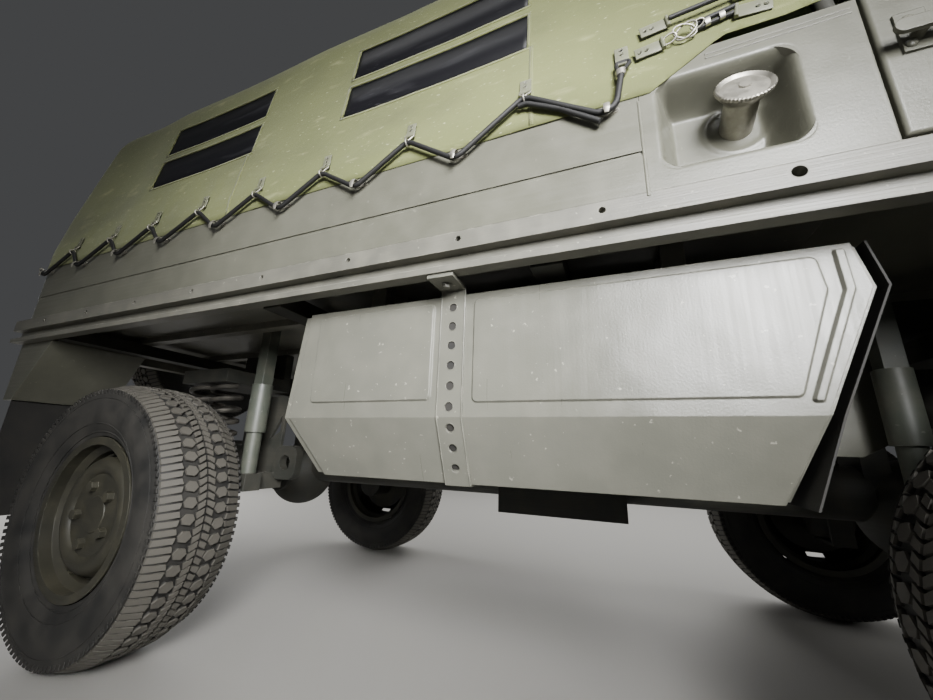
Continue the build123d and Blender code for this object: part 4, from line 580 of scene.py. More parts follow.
leg = TILT_KNEE - hem
side = side_run.length
shoulder = EAVE_RADIUS * shoulder_turn
roof_half = roof_radius * roof_half_angle
half_width = leg + side + shoulder + roof_half
print("cloth from hem to hem:", round(2 * half_width, 3), "m")


def arch_point(from_crown):
    """Point of the tilt's outline, as y and z, at a distance along the cloth from the crown."""
    sign = -1 if from_crown < 0 else 1
    run = half_width - abs(from_crown)
    if run < leg:
        y, z = hem_half, hem + run
    elif run < leg + side:
        share = (run - leg) / side
        y, z = hem_half - side_run.x * share, TILT_KNEE + side_run.y * share
    elif run < leg + side + shoulder:
        angle = side_lean + (run - leg - side) / EAVE_RADIUS
        y = EAVE_HALF - EAVE_RADIUS * (math.cos(side_lean) - math.cos(angle))
        z = EAVE_HEIGHT + EAVE_RADIUS * (math.sin(angle) - math.sin(side_lean))
    else:
        angle = (half_width - run) / roof_radius
        y, z = roof_radius * math.sin(angle), crown - roof_radius * (1 - math.cos(angle))
    return sign * y, z


def height_to_run(height):
    """Distance along the cloth from the crown to a height on the leaning side."""
    return half_width - leg - side * (height - TILT_KNEE) / side_run.y


# %% Cut the cloth flat
WINDOW_ROWS = [(1.465, 1.588), (1.624, 1.753)]
SIDE_WINDOWS = [(-1.130, -0.633), (-0.284, 0.225)]
CURTAIN_WINDOW_HALF = 0.300
DOOR_REAR = 0.700
DOOR_TOP = 1.906
HEM_LINE = [(0.448, 1.225), (0.515, 1.268), (0.572, 1.306), (0.653, 1.302), (0.705, 1.308)]


def faces_within(bm, low, high, margin=0.0):
    """The faces of a flat sheet with their middles between two corners."""
    return [
        face for face in bm.faces
        if all(low[i] - margin < face.calc_center_median()[i] < high[i] + margin for i in (0, 1))
    ]


def cut_line(bm, faces, point, normal):
    """Cuts some faces of a sheet along a line."""
    geom = list({part for face in faces for part in (*face.verts, *face.edges, face)})
    bmesh.ops.bisect_plane(bm, geom=geom, dist=1e-5, plane_co=point, plane_no=normal)


def cut_out(bm, low, high):
    """Cuts a rectangle out of a flat sheet, its edges at right angles to X and Y."""
    for axis, normal in enumerate((Vector((1, 0, 0)), Vector((0, 1, 0)))):
        for value in (low[axis], high[axis]):
            cut_line(bm, faces_within(bm, low, high, 2 * CELL), normal * value, normal)
    bmesh.ops.delete(bm, geom=faces_within(bm, low, high), context="FACES")


front_x = tilt_high.x
corner_start = tilt_low.x + CORNER_RADIUS
corner_run = CORNER_RADIUS * math.pi / 2
cloth_length = front_x - corner_start + corner_run
cloth_bm = bmesh.new()
columns = round(cloth_length / CELL)
rows = round(2 * half_width / CELL)
bmesh.ops.create_grid(cloth_bm, x_segments=columns, y_segments=rows, size=0.5)
middle_x = front_x - cloth_length / 2
bmesh.ops.transform(
    cloth_bm,
    matrix=Matrix.Translation((middle_x, 0, 0)) @ Matrix.Diagonal((cloth_length, 2 * half_width, 1, 1)),
    verts=cloth_bm.verts[:],
)
for low_z, high_z in WINDOW_ROWS:
    for start_x, end_x in SIDE_WINDOWS:
        near_run, far_run = height_to_run(high_z), height_to_run(low_z)
        cut_out(cloth_bm, (start_x, near_run), (end_x, far_run))
        cut_out(cloth_bm, (start_x, -far_run), (end_x, -near_run))
door_turn = math.asin((DOOR_TOP - EAVE_HEIGHT) / EAVE_RADIUS + math.sin(side_lean)) - side_lean
door_run = height_to_run(EAVE_HEIGHT) - door_turn * EAVE_RADIUS
cut_out(cloth_bm, (DOOR_REAR, door_run), (front_x + CELL, half_width + CELL))
cut_out(cloth_bm, (DOOR_REAR, -half_width - CELL), (front_x + CELL, -door_run))
# The hem rises in steps towards the door
for (start_x, start_z), (end_x, end_z) in zip(HEM_LINE, HEM_LINE[1:]):
    for sign in (-1, 1):
        start = Vector((start_x, sign * (half_width - (start_z - hem)), 0))
        end = Vector((end_x, sign * (half_width - (end_z - hem)), 0))
        outward = Vector((0, 0, 1)).cross(end - start) * sign
        near = [
            face for face in cloth_bm.faces
            if start_x - CELL < face.calc_center_median().x < end_x + CELL
            and face.calc_center_median().y * sign > half_width - 0.2
        ]
        cut_line(cloth_bm, near, start, outward)
        for face in [f for f in cloth_bm.faces if start_x < f.calc_center_median().x < end_x]:
            middle = face.calc_center_median()
            if middle.y * sign > 0 and (middle - start).dot(outward) > 0:
                cloth_bm.faces.remove(face)
loose = [vert for vert in cloth_bm.verts if not vert.link_faces]
bmesh.ops.delete(cloth_bm, geom=loose, context="VERTS")
cloth_area = sum(face.calc_area() for face in cloth_bm.faces)
print("flat cloth:", round(cloth_area, 2), "square metres")

# %% [markdown]
# The flat cloth is bent over the hoops. Between two hoops it hangs in a little, each lacing tab
# pulls a fan of small folds out of it, and slow noise keeps it from looking machined.

# %% Bend the cloth over the hoops
HOOPS = [-1.525, -1.160, -0.460, 0.270, 0.712, 1.49]
HOOP_SAG = 0.005
FOLD_HEIGHT = 0.0022
WALL_ROOM = 0.0017
LACING = [
    # kind, x, height
    ("ring", 0.407, 1.309), ("hook", 0.383, 1.190), ("ring", 0.225, 1.288), ("hook", 0.078, 1.190),
    ("ring", -0.043, 1.270), ("hook", -0.177, 1.190), ("ring", -0.288, 1.258), ("hook", -0.418, 1.190),
    ("ring", -0.521, 1.258), ("hook", -0.664, 1.190), ("ring", -0.755, 1.258), ("hook", -0.917, 1.190),
    ("ring", -0.983, 1.258), ("hook", -1.143, 1.190), ("ring", -1.209, 1.258), ("hook", -1.386, 1.190),
    ("ring", -1.445, 1.258), ("hook", -1.615, 1.192),
]


def hoop_sag(x):
    """How far the cloth hangs in between its hoops."""
    for start, end in zip(HOOPS, HOOPS[1:]):
        if start < x < end:
            share = (x - start) / (end - start)
            return HOOP_SAG * (4 * share * (1 - share)) ** 1.5
    return 0.0


def tab_folds(x, height):
    """Small folds that fan out above each lacing tab."""
    total = 0.0
    for kind, tab_x, tab_z in LACING:
        if kind == "ring" and abs(x - tab_x) < 0.16:
            rise = height - tab_z
            if -0.08 < rise < 0.26:
                fan = (x - tab_x) / (0.035 + 0.35 * max(rise, 0.0))
                total += math.cos(fan * 4.2) * math.exp(-fan * fan * 0.7) * math.exp(-abs(rise - 0.02) / 0.09)
    return total * FOLD_HEIGHT


def settle(point, normal, x, height):
    """Moves a point of the bent cloth for sag, folds and slow waves, clear of the wall inside it."""
    slow = noise.noise(Vector((x * 2.1, point.y * 1.7, height * 2.6)))
    fine = noise.noise(Vector((x * 9 + height * 5, point.y * 3, height * 11 - x * 4)))
    drop = hoop_sag(x) - tab_folds(x, height) - 0.0012 * slow - 0.0007 * fine
    room = WALL_ROOM + 0.4 * max(0.0, height - TILT_KNEE)
    return point - normal * min(max(drop, 0.0), room)


def back_lean(z):
    """How far the tilt's back leans forward at a height."""
    return CURTAIN_LEAN * max(0.0, z - CURTAIN_KNEE) / (crown + 0.01 - CURTAIN_KNEE)


def bend_point(flat_x, flat_y):
    """Where a point of the flat cloth comes to lie over the hoops and round the rear corner."""
    y, z = arch_point(flat_y)
    x = flat_x
    if flat_x < corner_start:
        angle = (corner_start - flat_x) / CORNER_RADIUS
        inset = CORNER_RADIUS * (1 - math.cos(angle))
        x = corner_start - CORNER_RADIUS * math.sin(angle)
        ahead_y, ahead_z = arch_point(flat_y + 0.001)
        across = Vector((ahead_y - y, ahead_z - z)).normalized()
        y, z = y + across.y * inset, z - across.x * inset
    share = min(1.0, max(0.0, (0.6 - (x - tilt_low.x)) / 0.5))
    return Vector((x + back_lean(z) * share * share * (3 - 2 * share), y, z))


def bent(flat_x, flat_y, lift=0.0):
    """The same point once the cloth has settled, lifted off its outer face by a distance."""
    step = 0.002
    here = bend_point(flat_x, flat_y)
    along = bend_point(flat_x + step, flat_y) - bend_point(flat_x - step, flat_y)
    across = bend_point(flat_x, flat_y + step) - bend_point(flat_x, flat_y - step)
    normal = along.cross(across).normalized()
    return settle(here, normal, here.x, here.z) + normal * lift


def add_thickness(piece, thickness, side=-1):
    thick = piece.modifiers.new("thickness", "SOLIDIFY")
    thick.thickness = thickness
    thick.offset = side


cloth_uv = cloth_bm.loops.layers.uv.new("cloth")
for face in cloth_bm.faces:
    for corner in face.loops:
        corner[cloth_uv].uv = corner.vert.co.xy
for vert in cloth_bm.verts:
    vert.co = bent(vert.co.x, vert.co.y)
tilt_cloth = add_piece("tilt_cloth", cloth_bm, "canvas", crease=70)
add_thickness(tilt_cloth, CANVAS_THICKNESS)
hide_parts("canvas_tilt")

# %% [markdown]
# Strips of the same duck are sewn on where the cloth would fray or tear: round each window, along
# the seams of the roof and up two seams of each side. A strip is laid out flat like the cloth and
# bent with it, just under a millimetre further out. Its second UV map gives the distance to its
# edge, which the stitches need. The window film is laid behind the cloth in the same way.

# %% Sewn strips and window film
STRIP_WIDTH = 0.008
STRIP_LIFT = 0.0009
STRIP_THICKNESS = 0.0010
ROOF_STRIP_WIDTH = 0.024
SEAM_WIDTH = 0.010
SEAM_PLACES = (0.236, -0.645)
HEM_MARGIN = 0.004
FILM_LAP = 0.008
FILM_GAP = 0.0004
FILM_THICKNESS = 0.0008


def lay_strip(bm, start, end, width=STRIP_WIDTH, lift=STRIP_LIFT):
    """A strip between two points of the flat cloth, bent with the cloth."""
    start, end = Vector(start), Vector(end)
    along = end - start
    cells = max(1, round(along.length / CELL))
    made = bmesh.ops.create_grid(bm, x_segments=cells, y_segments=2, size=0.5)["verts"]
    cloth_map = bm.loops.layers.uv.get("cloth") or bm.loops.layers.uv.new("cloth")
    edge_map = bm.loops.layers.uv.get("edge") or bm.loops.layers.uv.new("edge")
    turn = Matrix.Rotation(math.atan2(along.y, along.x), 2)
    local = {vert: Vector((vert.co.x * along.length, vert.co.y * width)) for vert in made}
    flat = {vert: (start + end) / 2 + turn @ place for vert, place in local.items()}
    for face in {face for vert in made for face in vert.link_faces}:
        for corner in face.loops:
            corner[cloth_map].uv = flat[corner.vert]
            corner[edge_map].uv = (local[corner.vert].x, width / 2 - abs(local[corner.vert].y))
    for vert in made:
        vert.co = bent(*flat[vert], lift)


strips_bm = bmesh.new()
film_bm = bmesh.new()
window_runs = [(height_to_run(high_z), height_to_run(low_z)) for low_z, high_z in WINDOW_ROWS]
lowest_run = window_runs[0][1]
half_strip = STRIP_WIDTH / 2
for sign in (-1, 1):
    for start_x, end_x in SIDE_WINDOWS:
        for near_run, far_run in window_runs:
            for run in (near_run - half_strip, far_run + half_strip):
                lay_strip(strips_bm, (start_x - STRIP_WIDTH, sign * run), (end_x + STRIP_WIDTH, sign * run))
            for x in (start_x - half_strip, end_x + half_strip):
                lay_strip(strips_bm, (x, sign * near_run), (x, sign * far_run), lift=STRIP_LIFT * 1.3)
            middle = sign * (near_run + far_run) / 2
            lay_strip(film_bm, (start_x - FILM_LAP, middle), (end_x + FILM_LAP, middle),
                      far_run - near_run + 2 * FILM_LAP, -CANVAS_THICKNESS - FILM_GAP)
    seam = sign * roof_half
    lay_strip(strips_bm, (front_x - cloth_length, seam), (front_x, seam), ROOF_STRIP_WIDTH)
    foot_run = sign * (half_width - HEM_MARGIN)
    for x in SEAM_PLACES:
        lay_strip(strips_bm, (x, foot_run), (x, sign * lowest_run), SEAM_WIDTH, STRIP_LIFT * 1.1)
strips = add_piece("sewn_strips", strips_bm, "canvas", crease=70, finish=stitched_duck)
add_thickness(strips, STRIP_THICKNESS)
film = add_piece("film_panes", film_bm, "window_film", crease=70)
add_thickness(film, FILM_THICKNESS)

# %% Rear curtain and front header
UPRIGHT = Matrix.Rotation(math.pi / 2, 4, "Z") @ Matrix.Rotation(math.pi / 2, 4, "X")
ARCH_STEPS = 60


def trim_to_arch(bm, inset, foot):
    """Cuts a flat panel, in y and z, to the tilt's outline set in by a distance."""
    for index in range(ARCH_STEPS + 1):
        run = -half_width + 0.001 + (2 * half_width - 0.002) * index / ARCH_STEPS
        y, z = arch_point(run)
        next_y, next_z = arch_point(run + 0.0005)
        along = Vector((0, next_y - y, next_z - z)).normalized()
        outward = Vector((0, -along.z, along.y))
        if outward.dot(Vector((0, y, z - 1.5))) < 0:
            outward = -outward
        slice_off(bm, Vector((0, y, z)) - outward * inset, outward)
    slice_off(bm, Vector((0, 0, foot)), Vector((0, 0, -1)))


def flat_panel(x, inset, foot):
    """An upright sheet across the truck, trimmed to the tilt's outline."""
    bm = bmesh.new()
    height = crown - hem + 0.02
    cells_across, cells_up = round(2 * hem_half / CELL), round(height / CELL)
    bmesh.ops.create_grid(bm, x_segments=cells_across, y_segments=cells_up, size=0.5)
    place = Matrix.Translation((x, 0, hem + height / 2))
    spread = Matrix.Diagonal((2 * hem_half, height, 1, 1))
    bmesh.ops.transform(bm, matrix=place @ UPRIGHT @ spread, verts=bm.verts[:])
    trim_to_arch(bm, inset, foot)
    layer = bm.loops.layers.uv.new("cloth")
    for face in bm.faces:
        for corner in face.loops:
            corner[layer].uv = corner.vert.co.yz
    return bm


def hang(bm):
    """Lets an upright sheet lean and wave as the hanging curtain does."""
    for vert in bm.verts:
        wave = abs(0.002 * noise.noise(Vector((vert.co.y * 3.1, vert.co.z * 2.3, 7.0))))
        vert.co.x += back_lean(vert.co.z) + wave


REAR_OPENING_HALF = 0.474
REAR_OPENING_TOP = 1.297
CURTAIN_GAP = 0.0006
CORNER_LAP = 0.004
REAR_FILM_AHEAD = 0.0022
curtain_x = tilt_low.x + CURTAIN_GAP
curtain_bm = flat_panel(curtain_x, CORNER_RADIUS - CORNER_LAP, hem)
# The sheet lies down with y and z in the place of x and y while its openings are cut
lay_down = Matrix(((0, 1, 0, 0), (0, 0, 1, 0), (1, 0, 0, 0), (0, 0, 0, 1)))
bmesh.ops.transform(curtain_bm, matrix=lay_down, verts=curtain_bm.verts[:])
for low_z, high_z in WINDOW_ROWS:
    cut_out(curtain_bm, (-CURTAIN_WINDOW_HALF, low_z), (CURTAIN_WINDOW_HALF, high_z))
cut_out(curtain_bm, (-REAR_OPENING_HALF, hem - CELL), (REAR_OPENING_HALF, REAR_OPENING_TOP))
bmesh.ops.transform(curtain_bm, matrix=lay_down.inverted(), verts=curtain_bm.verts[:])
curtain_area = sum(face.calc_area() for face in curtain_bm.faces)
hang(curtain_bm)
face_outward(curtain_bm)
curtain = add_piece("tilt_curtain", curtain_bm, "canvas", crease=70)
add_thickness(curtain, CANVAS_THICKNESS, 0)
rear_film_bm = bmesh.new()
for low_z, high_z in WINDOW_ROWS:
    width, height = 2 * CURTAIN_WINDOW_HALF + 2 * FILM_LAP, high_z - low_z + 2 * FILM_LAP
    place = Matrix.Translation((curtain_x + REAR_FILM_AHEAD, 0, (low_z + high_z) / 2)) @ UPRIGHT
    bmesh.ops.create_grid(rear_film_bm, x_segments=30, y_segments=6, size=0.5,
                          matrix=place @ Matrix.Diagonal((width, height, 1, 1)))
hang(rear_film_bm)
rear_film = add_piece("rear_film_panes", rear_film_bm, "window_film", crease=70)
add_thickness(rear_film, FILM_THICKNESS, 0)
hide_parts("tilt_windows")
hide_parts("tilt_windows")

HEADER_FOOT = 1.945
HEADER_INSET = 0.001
header_bm = flat_panel(tilt_high.x - HEADER_INSET, HEADER_INSET, HEADER_FOOT)
header_area = sum(face.calc_area() for face in header_bm.faces)
face_outward(header_bm)
header = add_piece("tilt_header", header_bm, "canvas", crease=70)
add_thickness(header, CANVAS_THICKNESS, 0)

# %% [markdown]
# ## Lacing
# A black elastic cord zigzags between hooks on the wall and wire rings on the tilt. It is pulled
# tight, so it is a wire shape and not a hanging cord: a ring of corners is extruded from point to
# point along its path. The left half is made first and mirrored to the right.

# %% Wire and fixing helpers
TO_Y = Matrix.Rotation(-math.pi / 2, 4, "X")


def around(count):
    """Angles of equal steps once round a circle."""
    return [math.tau * step / count for step in range(count)]


def frame_at(side, across, along, point):
    """The matrix whose axes and origin are four vectors."""
    return Matrix((*zip(side, across, along, point), (0, 0, 0, 1)))


def rounded(points, radius, steps=5):
    """A row of points with each inner corner made an arc."""
    points = [Vector(point) for point in points]
    path = [points[0]]
    for before, at, after in zip(points, points[1:], points[2:]):
        back, onward = (before - at).normalized(), (after - at).normalized()
        half = back.angle(onward) / 2
        centre = at + (back + onward).normalized() * radius / math.sin(half)
        start = at + back * radius / math.tan(half) - centre
        end = at + onward * radius / math.tan(half) - centre
        axis = start.cross(end).normalized()
        path += [centre + Matrix.Rotation(start.angle(end) * step / steps, 3, axis) @ start
                 for step in range(steps + 1)]
    path.append(points[-1])
    return path


def wire_along(bm, points, radius, sides=8, closed=False, side=None, flat=1.0, tip=1.0):
    """A wire, or a flat strip, extruded through a row of points."""
    points = [Vector(point) for point in points]
    count = len(points)
    side = Vector(side) if side else (points[1] - points[0]).orthogonal()
    frames = []
    for index, point in enumerate(points):
        before = points[index - 1] if closed or index else point
        after = points[(index + 1) % count] if closed or index + 1 < count else point
        along = (after - before).normalized()
        side = (side - along * side.dot(along)).normalized()
        size = radius * (tip if index + 1 == count else 1.0)
        frames.append(frame_at(side * size, along.cross(side) * size * flat, along, point))
    ring = bmesh.ops.create_circle(bm, segments=sides, radius=1.0, matrix=frames[0])["verts"]
    first = edges = edges_at(ring)
    for last, this in zip(frames, frames[1:]):
        made = bmesh.ops.extrude_edge_only(bm, edges=edges)["geom"]
        ring = only(bmesh.types.BMVert, made)
        edges = [edge for edge in only(bmesh.types.BMEdge, made) if edge.is_boundary]
        bmesh.ops.transform(bm, matrix=this @ last.inverted(), verts=ring)
    if closed:
        bmesh.ops.bridge_loops(bm, edges=first + edges)
    else:
        bmesh.ops.holes_fill(bm, edges=first + edges)


def add_screw(bm, place, radius, height, sides=12):
    """A low round screw head standing along the local Y axis."""
    turn = place @ TO_Y @ Matrix.Translation((0, 0, height / 2))
    bmesh.ops.create_cone(bm, cap_ends=True, segments=sides, radius1=radius, radius2=radius * 0.7,
                          depth=height, matrix=turn)


def add_eyelet(bm, place, radius, height):
    """A hollow rivet standing along the local Y axis, its middle sunk."""
    turn = place @ TO_Y
    base = bmesh.ops.create_circle(bm, cap_ends=True, segments=12, radius=radius, matrix=turn)["verts"]
    face = next(iter({face for vert in base for face in vert.link_faces}))
    top = bmesh.ops.extrude_face_region(bm, geom=[face])["geom"]
    lift = turn.to_3x3() @ Vector((0, 0, height))
    bmesh.ops.translate(bm, vec=lift, verts=only(bmesh.types.BMVert, top))
    crown_face = only(bmesh.types.BMFace, top)
    bmesh.ops.inset_individual(bm, faces=crown_face, thickness=radius * 0.35, depth=0.0)
    bmesh.ops.translate(bm, vec=lift * -1.5, verts=list(crown_face[0].verts))


def both_sides(bm):
    """The left half and its mirror image, as a new bmesh."""
    half = pattern_of("left_half", bm)
    whole = bmesh.new()
    stamp(whole, half, Matrix.Identity(4))
    stamp(whole, half, Matrix.Diagonal((1, -1, 1, 1)))
    face_outward(whole)
    return whole


# %% Path of the lacing cord
CORD_RADIUS = 0.0055
CORD_SIDES = 12
HORN_BEND = 0.0103
CORD_BEND = 0.026
DOUBLED_BEND = 0.030
CRIMP = (0.404, 1.273)
CORD_FOOT = (-1.646, 1.216)
cord_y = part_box("lacing_cords")[1].y - CORD_RADIUS
wall_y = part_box("corner_panels")[1].y
turns = [Vector((x, cord_y, z)) for kind, x, z in LACING]
turns.append(Vector((turns[-2].x - 0.200, cord_y, turns[-2].z)))


def bend_of(index):
    """The way into the cord's bend from its corner, and half the corner's angle."""
    before, at, after = turns[index - 1:index + 2]
    back, onward = (before - at).normalized(), (after - at).normalized()
    return (back + onward).normalized(), back.angle(onward) / 2


cord_route = [Vector((CRIMP[0], cord_y, CRIMP[1] - 0.004))]
for index in range(1, len(LACING)):
    inward, half = bend_of(index)
    wider = (CORD_BEND - HORN_BEND) * (1 / math.sin(half) - 1)
    cord_route.append(turns[index] - inward * wider)
cord_route.append(Vector((CORD_FOOT[0], cord_y, CORD_FOOT[1])))
cord_bm = bmesh.new()
wire_along(cord_bm, rounded(cord_route, CORD_BEND, 6), CORD_RADIUS, CORD_SIDES)
# The front end is doubled back from the first ring to the first hook
ring_front, hook_front = turns[2], turns[1]
doubled_back = [
    ring_front + Vector((-0.012, -0.001, -0.016)),
    ring_front + Vector((0.004, 0.0, -0.0155)),
    ring_front + Vector((0.070, -0.003, -0.052)),
    hook_front + Vector((-0.020, -0.003, -0.008)),
]
wire_along(cord_bm, rounded(doubled_back, DOUBLED_BEND), CORD_RADIUS * 0.95, CORD_SIDES)

# %% Loop and ties at the front of the tilt
LOOP_RADIUS = 0.0036
LOOP_BEND = 0.0035
TIE_RADIUS = 0.0042
TIE = [(0.5330, 1.3385), (0.5610, 1.3435), (0.5900, 1.3480)]
UPPER_TIE = [(0.4930, 1.3795), (0.5400, 1.3835), (0.5950, 1.3885)]
crimp_point = Vector((CRIMP[0], cord_y, CRIMP[1]))
loop_y = hem_half + 0.0065
end_loop = [
    crimp_point + Vector((-0.003, 0, -0.020)),
    crimp_point + Vector((-0.004, 0, 0.004)),
    Vector((0.3975, loop_y, 1.297)),
    Vector((0.3985, loop_y - 0.001, 1.3045)),
    Vector((0.4195, loop_y - 0.001, 1.3045)),
    Vector((0.4205, loop_y, 1.297)),
    crimp_point + Vector((0.004, 0, 0.004)),
    crimp_point + Vector((0.002, 0, -0.010)),
]
wire_along(cord_bm, rounded(end_loop, LOOP_BEND, 4), LOOP_RADIUS, 10)
tie_y = hem_half - 0.001
for shift in (-TIE_RADIUS, TIE_RADIUS):
    strand_y = tie_y + 0.002 * shift / TIE_RADIUS
    wire_along(cord_bm, [(x, strand_y, z + shift) for x, z in TIE], TIE_RADIUS, 10)
wire_along(cord_bm, [(x, tie_y, z) for x, z in UPPER_TIE], TIE_RADIUS, 10)
cord = add_piece("lace_cord", both_sides(cord_bm), "cord")
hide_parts("lacing_cords")

# %% Hooks on the wall
HOOK_RISE = 0.004
HOOK_PLATE = 0.0025
HOOK_PLATE_HALF = (0.022, 0.0085)
HOOK_SCREWS = (-0.016, 0.016)
HOOK_TWIST = 0.06
TONGUE = [
    # y, z
    (0.001, 0.004), (0.011, 0.004), (0.023, 0.0015),
    (0.0275, -0.005), (0.0290, -0.013), (0.0280, -0.023),
]
hook_bm = bmesh.new()
plate = Matrix.Translation((0, HOOK_PLATE / 2, HOOK_RISE)) @ TO_Y
bmesh.ops.create_cone(hook_bm, cap_ends=True, segments=24, radius1=1.0, radius2=0.92, depth=HOOK_PLATE,
                      matrix=plate @ Matrix.Diagonal((*HOOK_PLATE_HALF, 1, 1)))
for x in HOOK_SCREWS:
    add_screw(hook_bm, Matrix.Translation((x, HOOK_PLATE, HOOK_RISE)), 0.0036, 0.0018)
tongue_path = rounded([(0, y, z) for y, z in TONGUE], 0.004, 3)
wire_along(hook_bm, tongue_path, 0.0058, 10, side=(1, 0, 0), flat=0.30, tip=0.62)
hook = pattern_of("hook", hook_bm)
hooks_bm = bmesh.new()
for index, (kind, x, z) in enumerate(LACING):
    if kind == "hook":
        inward, half = bend_of(index)
        centre = turns[index] + inward * (HORN_BEND / math.sin(half))
        twist = Matrix.Rotation(HOOK_TWIST, 4, "Y")
        stamp(hooks_bm, hook, Matrix.Translation((centre.x, wall_y, centre.z)) @ twist)
hooks = add_piece("lace_hooks", both_sides(hooks_bm), "hook_steel", crease=50)
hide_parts("lacing_hooks")

# %% Tabs and rings on the tilt
TAB_THICKNESS = 0.0022
FOLD_RADIUS = 0.0037
RIVET_RADIUS = 0.0036
RIVET_PITCH = 0.0115
RING_RADIUS = 0.0080
RING_WIRE = 0.0019
OVAL_WIRE = 0.0017
FRONT_TABS = [
    # x, foot, height, turn in degrees, width
    (0.4765, 1.3230, 0.046, -97, 0.024),
    (0.4900, 1.3790, 0.046, -97, 0.024),
    (0.5930, 1.3425, 0.050, 97, 0.026),
    (0.5980, 1.3890, 0.050, 97, 0.026),
]
TIE_OVALS = [
    # x and z of the middle, half length, half width, tilt in radians
    (0.4880, 1.3255, 0.0110, 0.0065, 0.2),
    (0.5125, 1.3315, 0.0190, 0.0120, -0.3),
    (0.5145, 1.3320, 0.0180, 0.0135, 0.55),
    (0.5330, 1.3380, 0.0100, 0.0050, 0.2),
]


def canvas_y(z):
    """Half width of the tilt's side at a height."""
    return hem_half - side_run.x * max(0.0, z - TILT_KNEE) / side_run.y


def add_tab(bm, x, foot, height, rivets, turn=0.0, width=0.024):
    """A folded steel tab lying on the cloth, its fold at the foot; turn lays it over."""
    reach = Vector((math.sin(turn), 0, math.cos(turn))) * height
    low = Vector((x, canvas_y(foot), foot))
    high = Vector((x + reach.x, canvas_y(foot + reach.z), foot + reach.z))
    up = (high - low).normalized()
    along = Vector((math.cos(turn), 0, -math.sin(turn)))
    out = up.cross(along).normalized()
    place = frame_at(along, out, up, low + out * 0.0014)
    tab = bmesh.new()
    add_slab(tab, (-width / 2, 0, 0), (width / 2, TAB_THICKNESS, height), 0.0009)
    add_rod(tab, (-width / 2, 0.0034, -0.0012), (width / 2, 0.0034, -0.0012), FOLD_RADIUS, 12)
    for rivet in range(rivets):
        spot = Matrix.Translation((0, TAB_THICKNESS, height - 0.009 - RIVET_PITCH * rivet))
        add_eyelet(tab, spot, RIVET_RADIUS, 0.0012)
    stamp(bm, pattern_of("tab", tab), place)


def add_oval(bm, middle_x, middle_z, long_half, short_half, tilt):
    """A wire oval of the tie, tilted in the side's plane."""
    oval = []
    for angle in around(20):
        along, across = long_half * math.cos(angle), short_half * math.sin(angle)
        oval.append((
            middle_x + along * math.cos(tilt) - across * math.sin(tilt),
            tie_y + 0.004 + 0.004 * math.sin(angle + tilt * 3),
            middle_z + along * math.sin(tilt) + across * math.cos(tilt),
        ))
    wire_along(bm, oval, OVAL_WIRE, 8, closed=True)


tabs_bm = bmesh.new()
rings_bm = bmesh.new()
add_tab(tabs_bm, 0.409, 1.3035, 0.048, 2)
for index, (kind, x, z) in enumerate(LACING):
    if kind != "ring" or index == 0:
        continue
    inward, half = bend_of(index)
    centre = turns[index] + inward * (HORN_BEND / math.sin(half))
    apex = centre.z + HORN_BEND
    foot = apex + 0.026
    add_tab(tabs_bm, centre.x, foot, 0.040, 2 if x > -0.1 else 3)
    circle = [(centre.x, cord_y + RING_RADIUS * math.cos(angle), apex + RING_RADIUS * math.sin(angle))
              for angle in around(14)]
    wire_along(rings_bm, circle, RING_WIRE, 8, closed=True, side=(1, 0, 0))
    bar_y, bar_z = canvas_y(foot) + 0.0048, foot - 0.001
    triangle = [(centre.x, bar_y, bar_z), (centre.x + 0.0150, bar_y, bar_z),
                (centre.x, cord_y - 0.001, apex + 0.0065), (centre.x - 0.0150, bar_y, bar_z),
                (centre.x, bar_y, bar_z)]
    wire_along(rings_bm, rounded(triangle, 0.0028, 4)[:-1], RING_WIRE, 8, closed=True)
# The ties run from the tilt's front edge to the door post
for x, foot, height, turn, width in FRONT_TABS:
    add_tab(tabs_bm, x, foot, height, 2, turn=math.radians(turn), width=width)
for oval in TIE_OVALS:
    add_oval(rings_bm, *oval)
tabs = add_piece("lace_tabs", both_sides(tabs_bm), "hook_steel", crease=40, finish=tab_enamel)
rings = add_piece("lace_rings", both_sides(rings_bm), "hook_steel", crease=50)
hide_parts("tilt_rings")
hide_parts("tilt_rings")

# %% Crimped clamps on the cord ends
TIE_CRIMPS = [(0.5480, 1.3412), (0.5700, 1.3450)]
crimps_bm = bmesh.new()
upright = Vector((0, 0, 0.006))
wire_along(crimps_bm, [crimp_point - upright, crimp_point + upright], 0.0088, 14, side=(1, 0, 0), flat=0.72)
for x, z in TIE_CRIMPS:
    ends = [(x - 0.004, tie_y, z - 0.0007), (x + 0.004, tie_y, z + 0.0007)]
    wire_along(crimps_bm, ends, 0.0095, 14, side=(0, 0, 1), flat=0.62)
slant = Vector((0.004, 0, -0.004))
wire_along(crimps_bm, [cord_route[-1] + slant, cord_route[-1] - slant], 0.0066, 12)
add_piece("lace_crimps", both_sides(crimps_bm), "hook_steel", crease=40)

# %% [markdown]
# ## Filler cap and its dish
# The fuel filler sits in a pressed dish, whose sides run into its floor in wide curves. The steel
# frame's dish has sharp corners, so a grid is pressed over it in soft curves. The zinc-plated cap
# is turned: half its profile is spun once round the axis, and its rim is knurled for the hand.

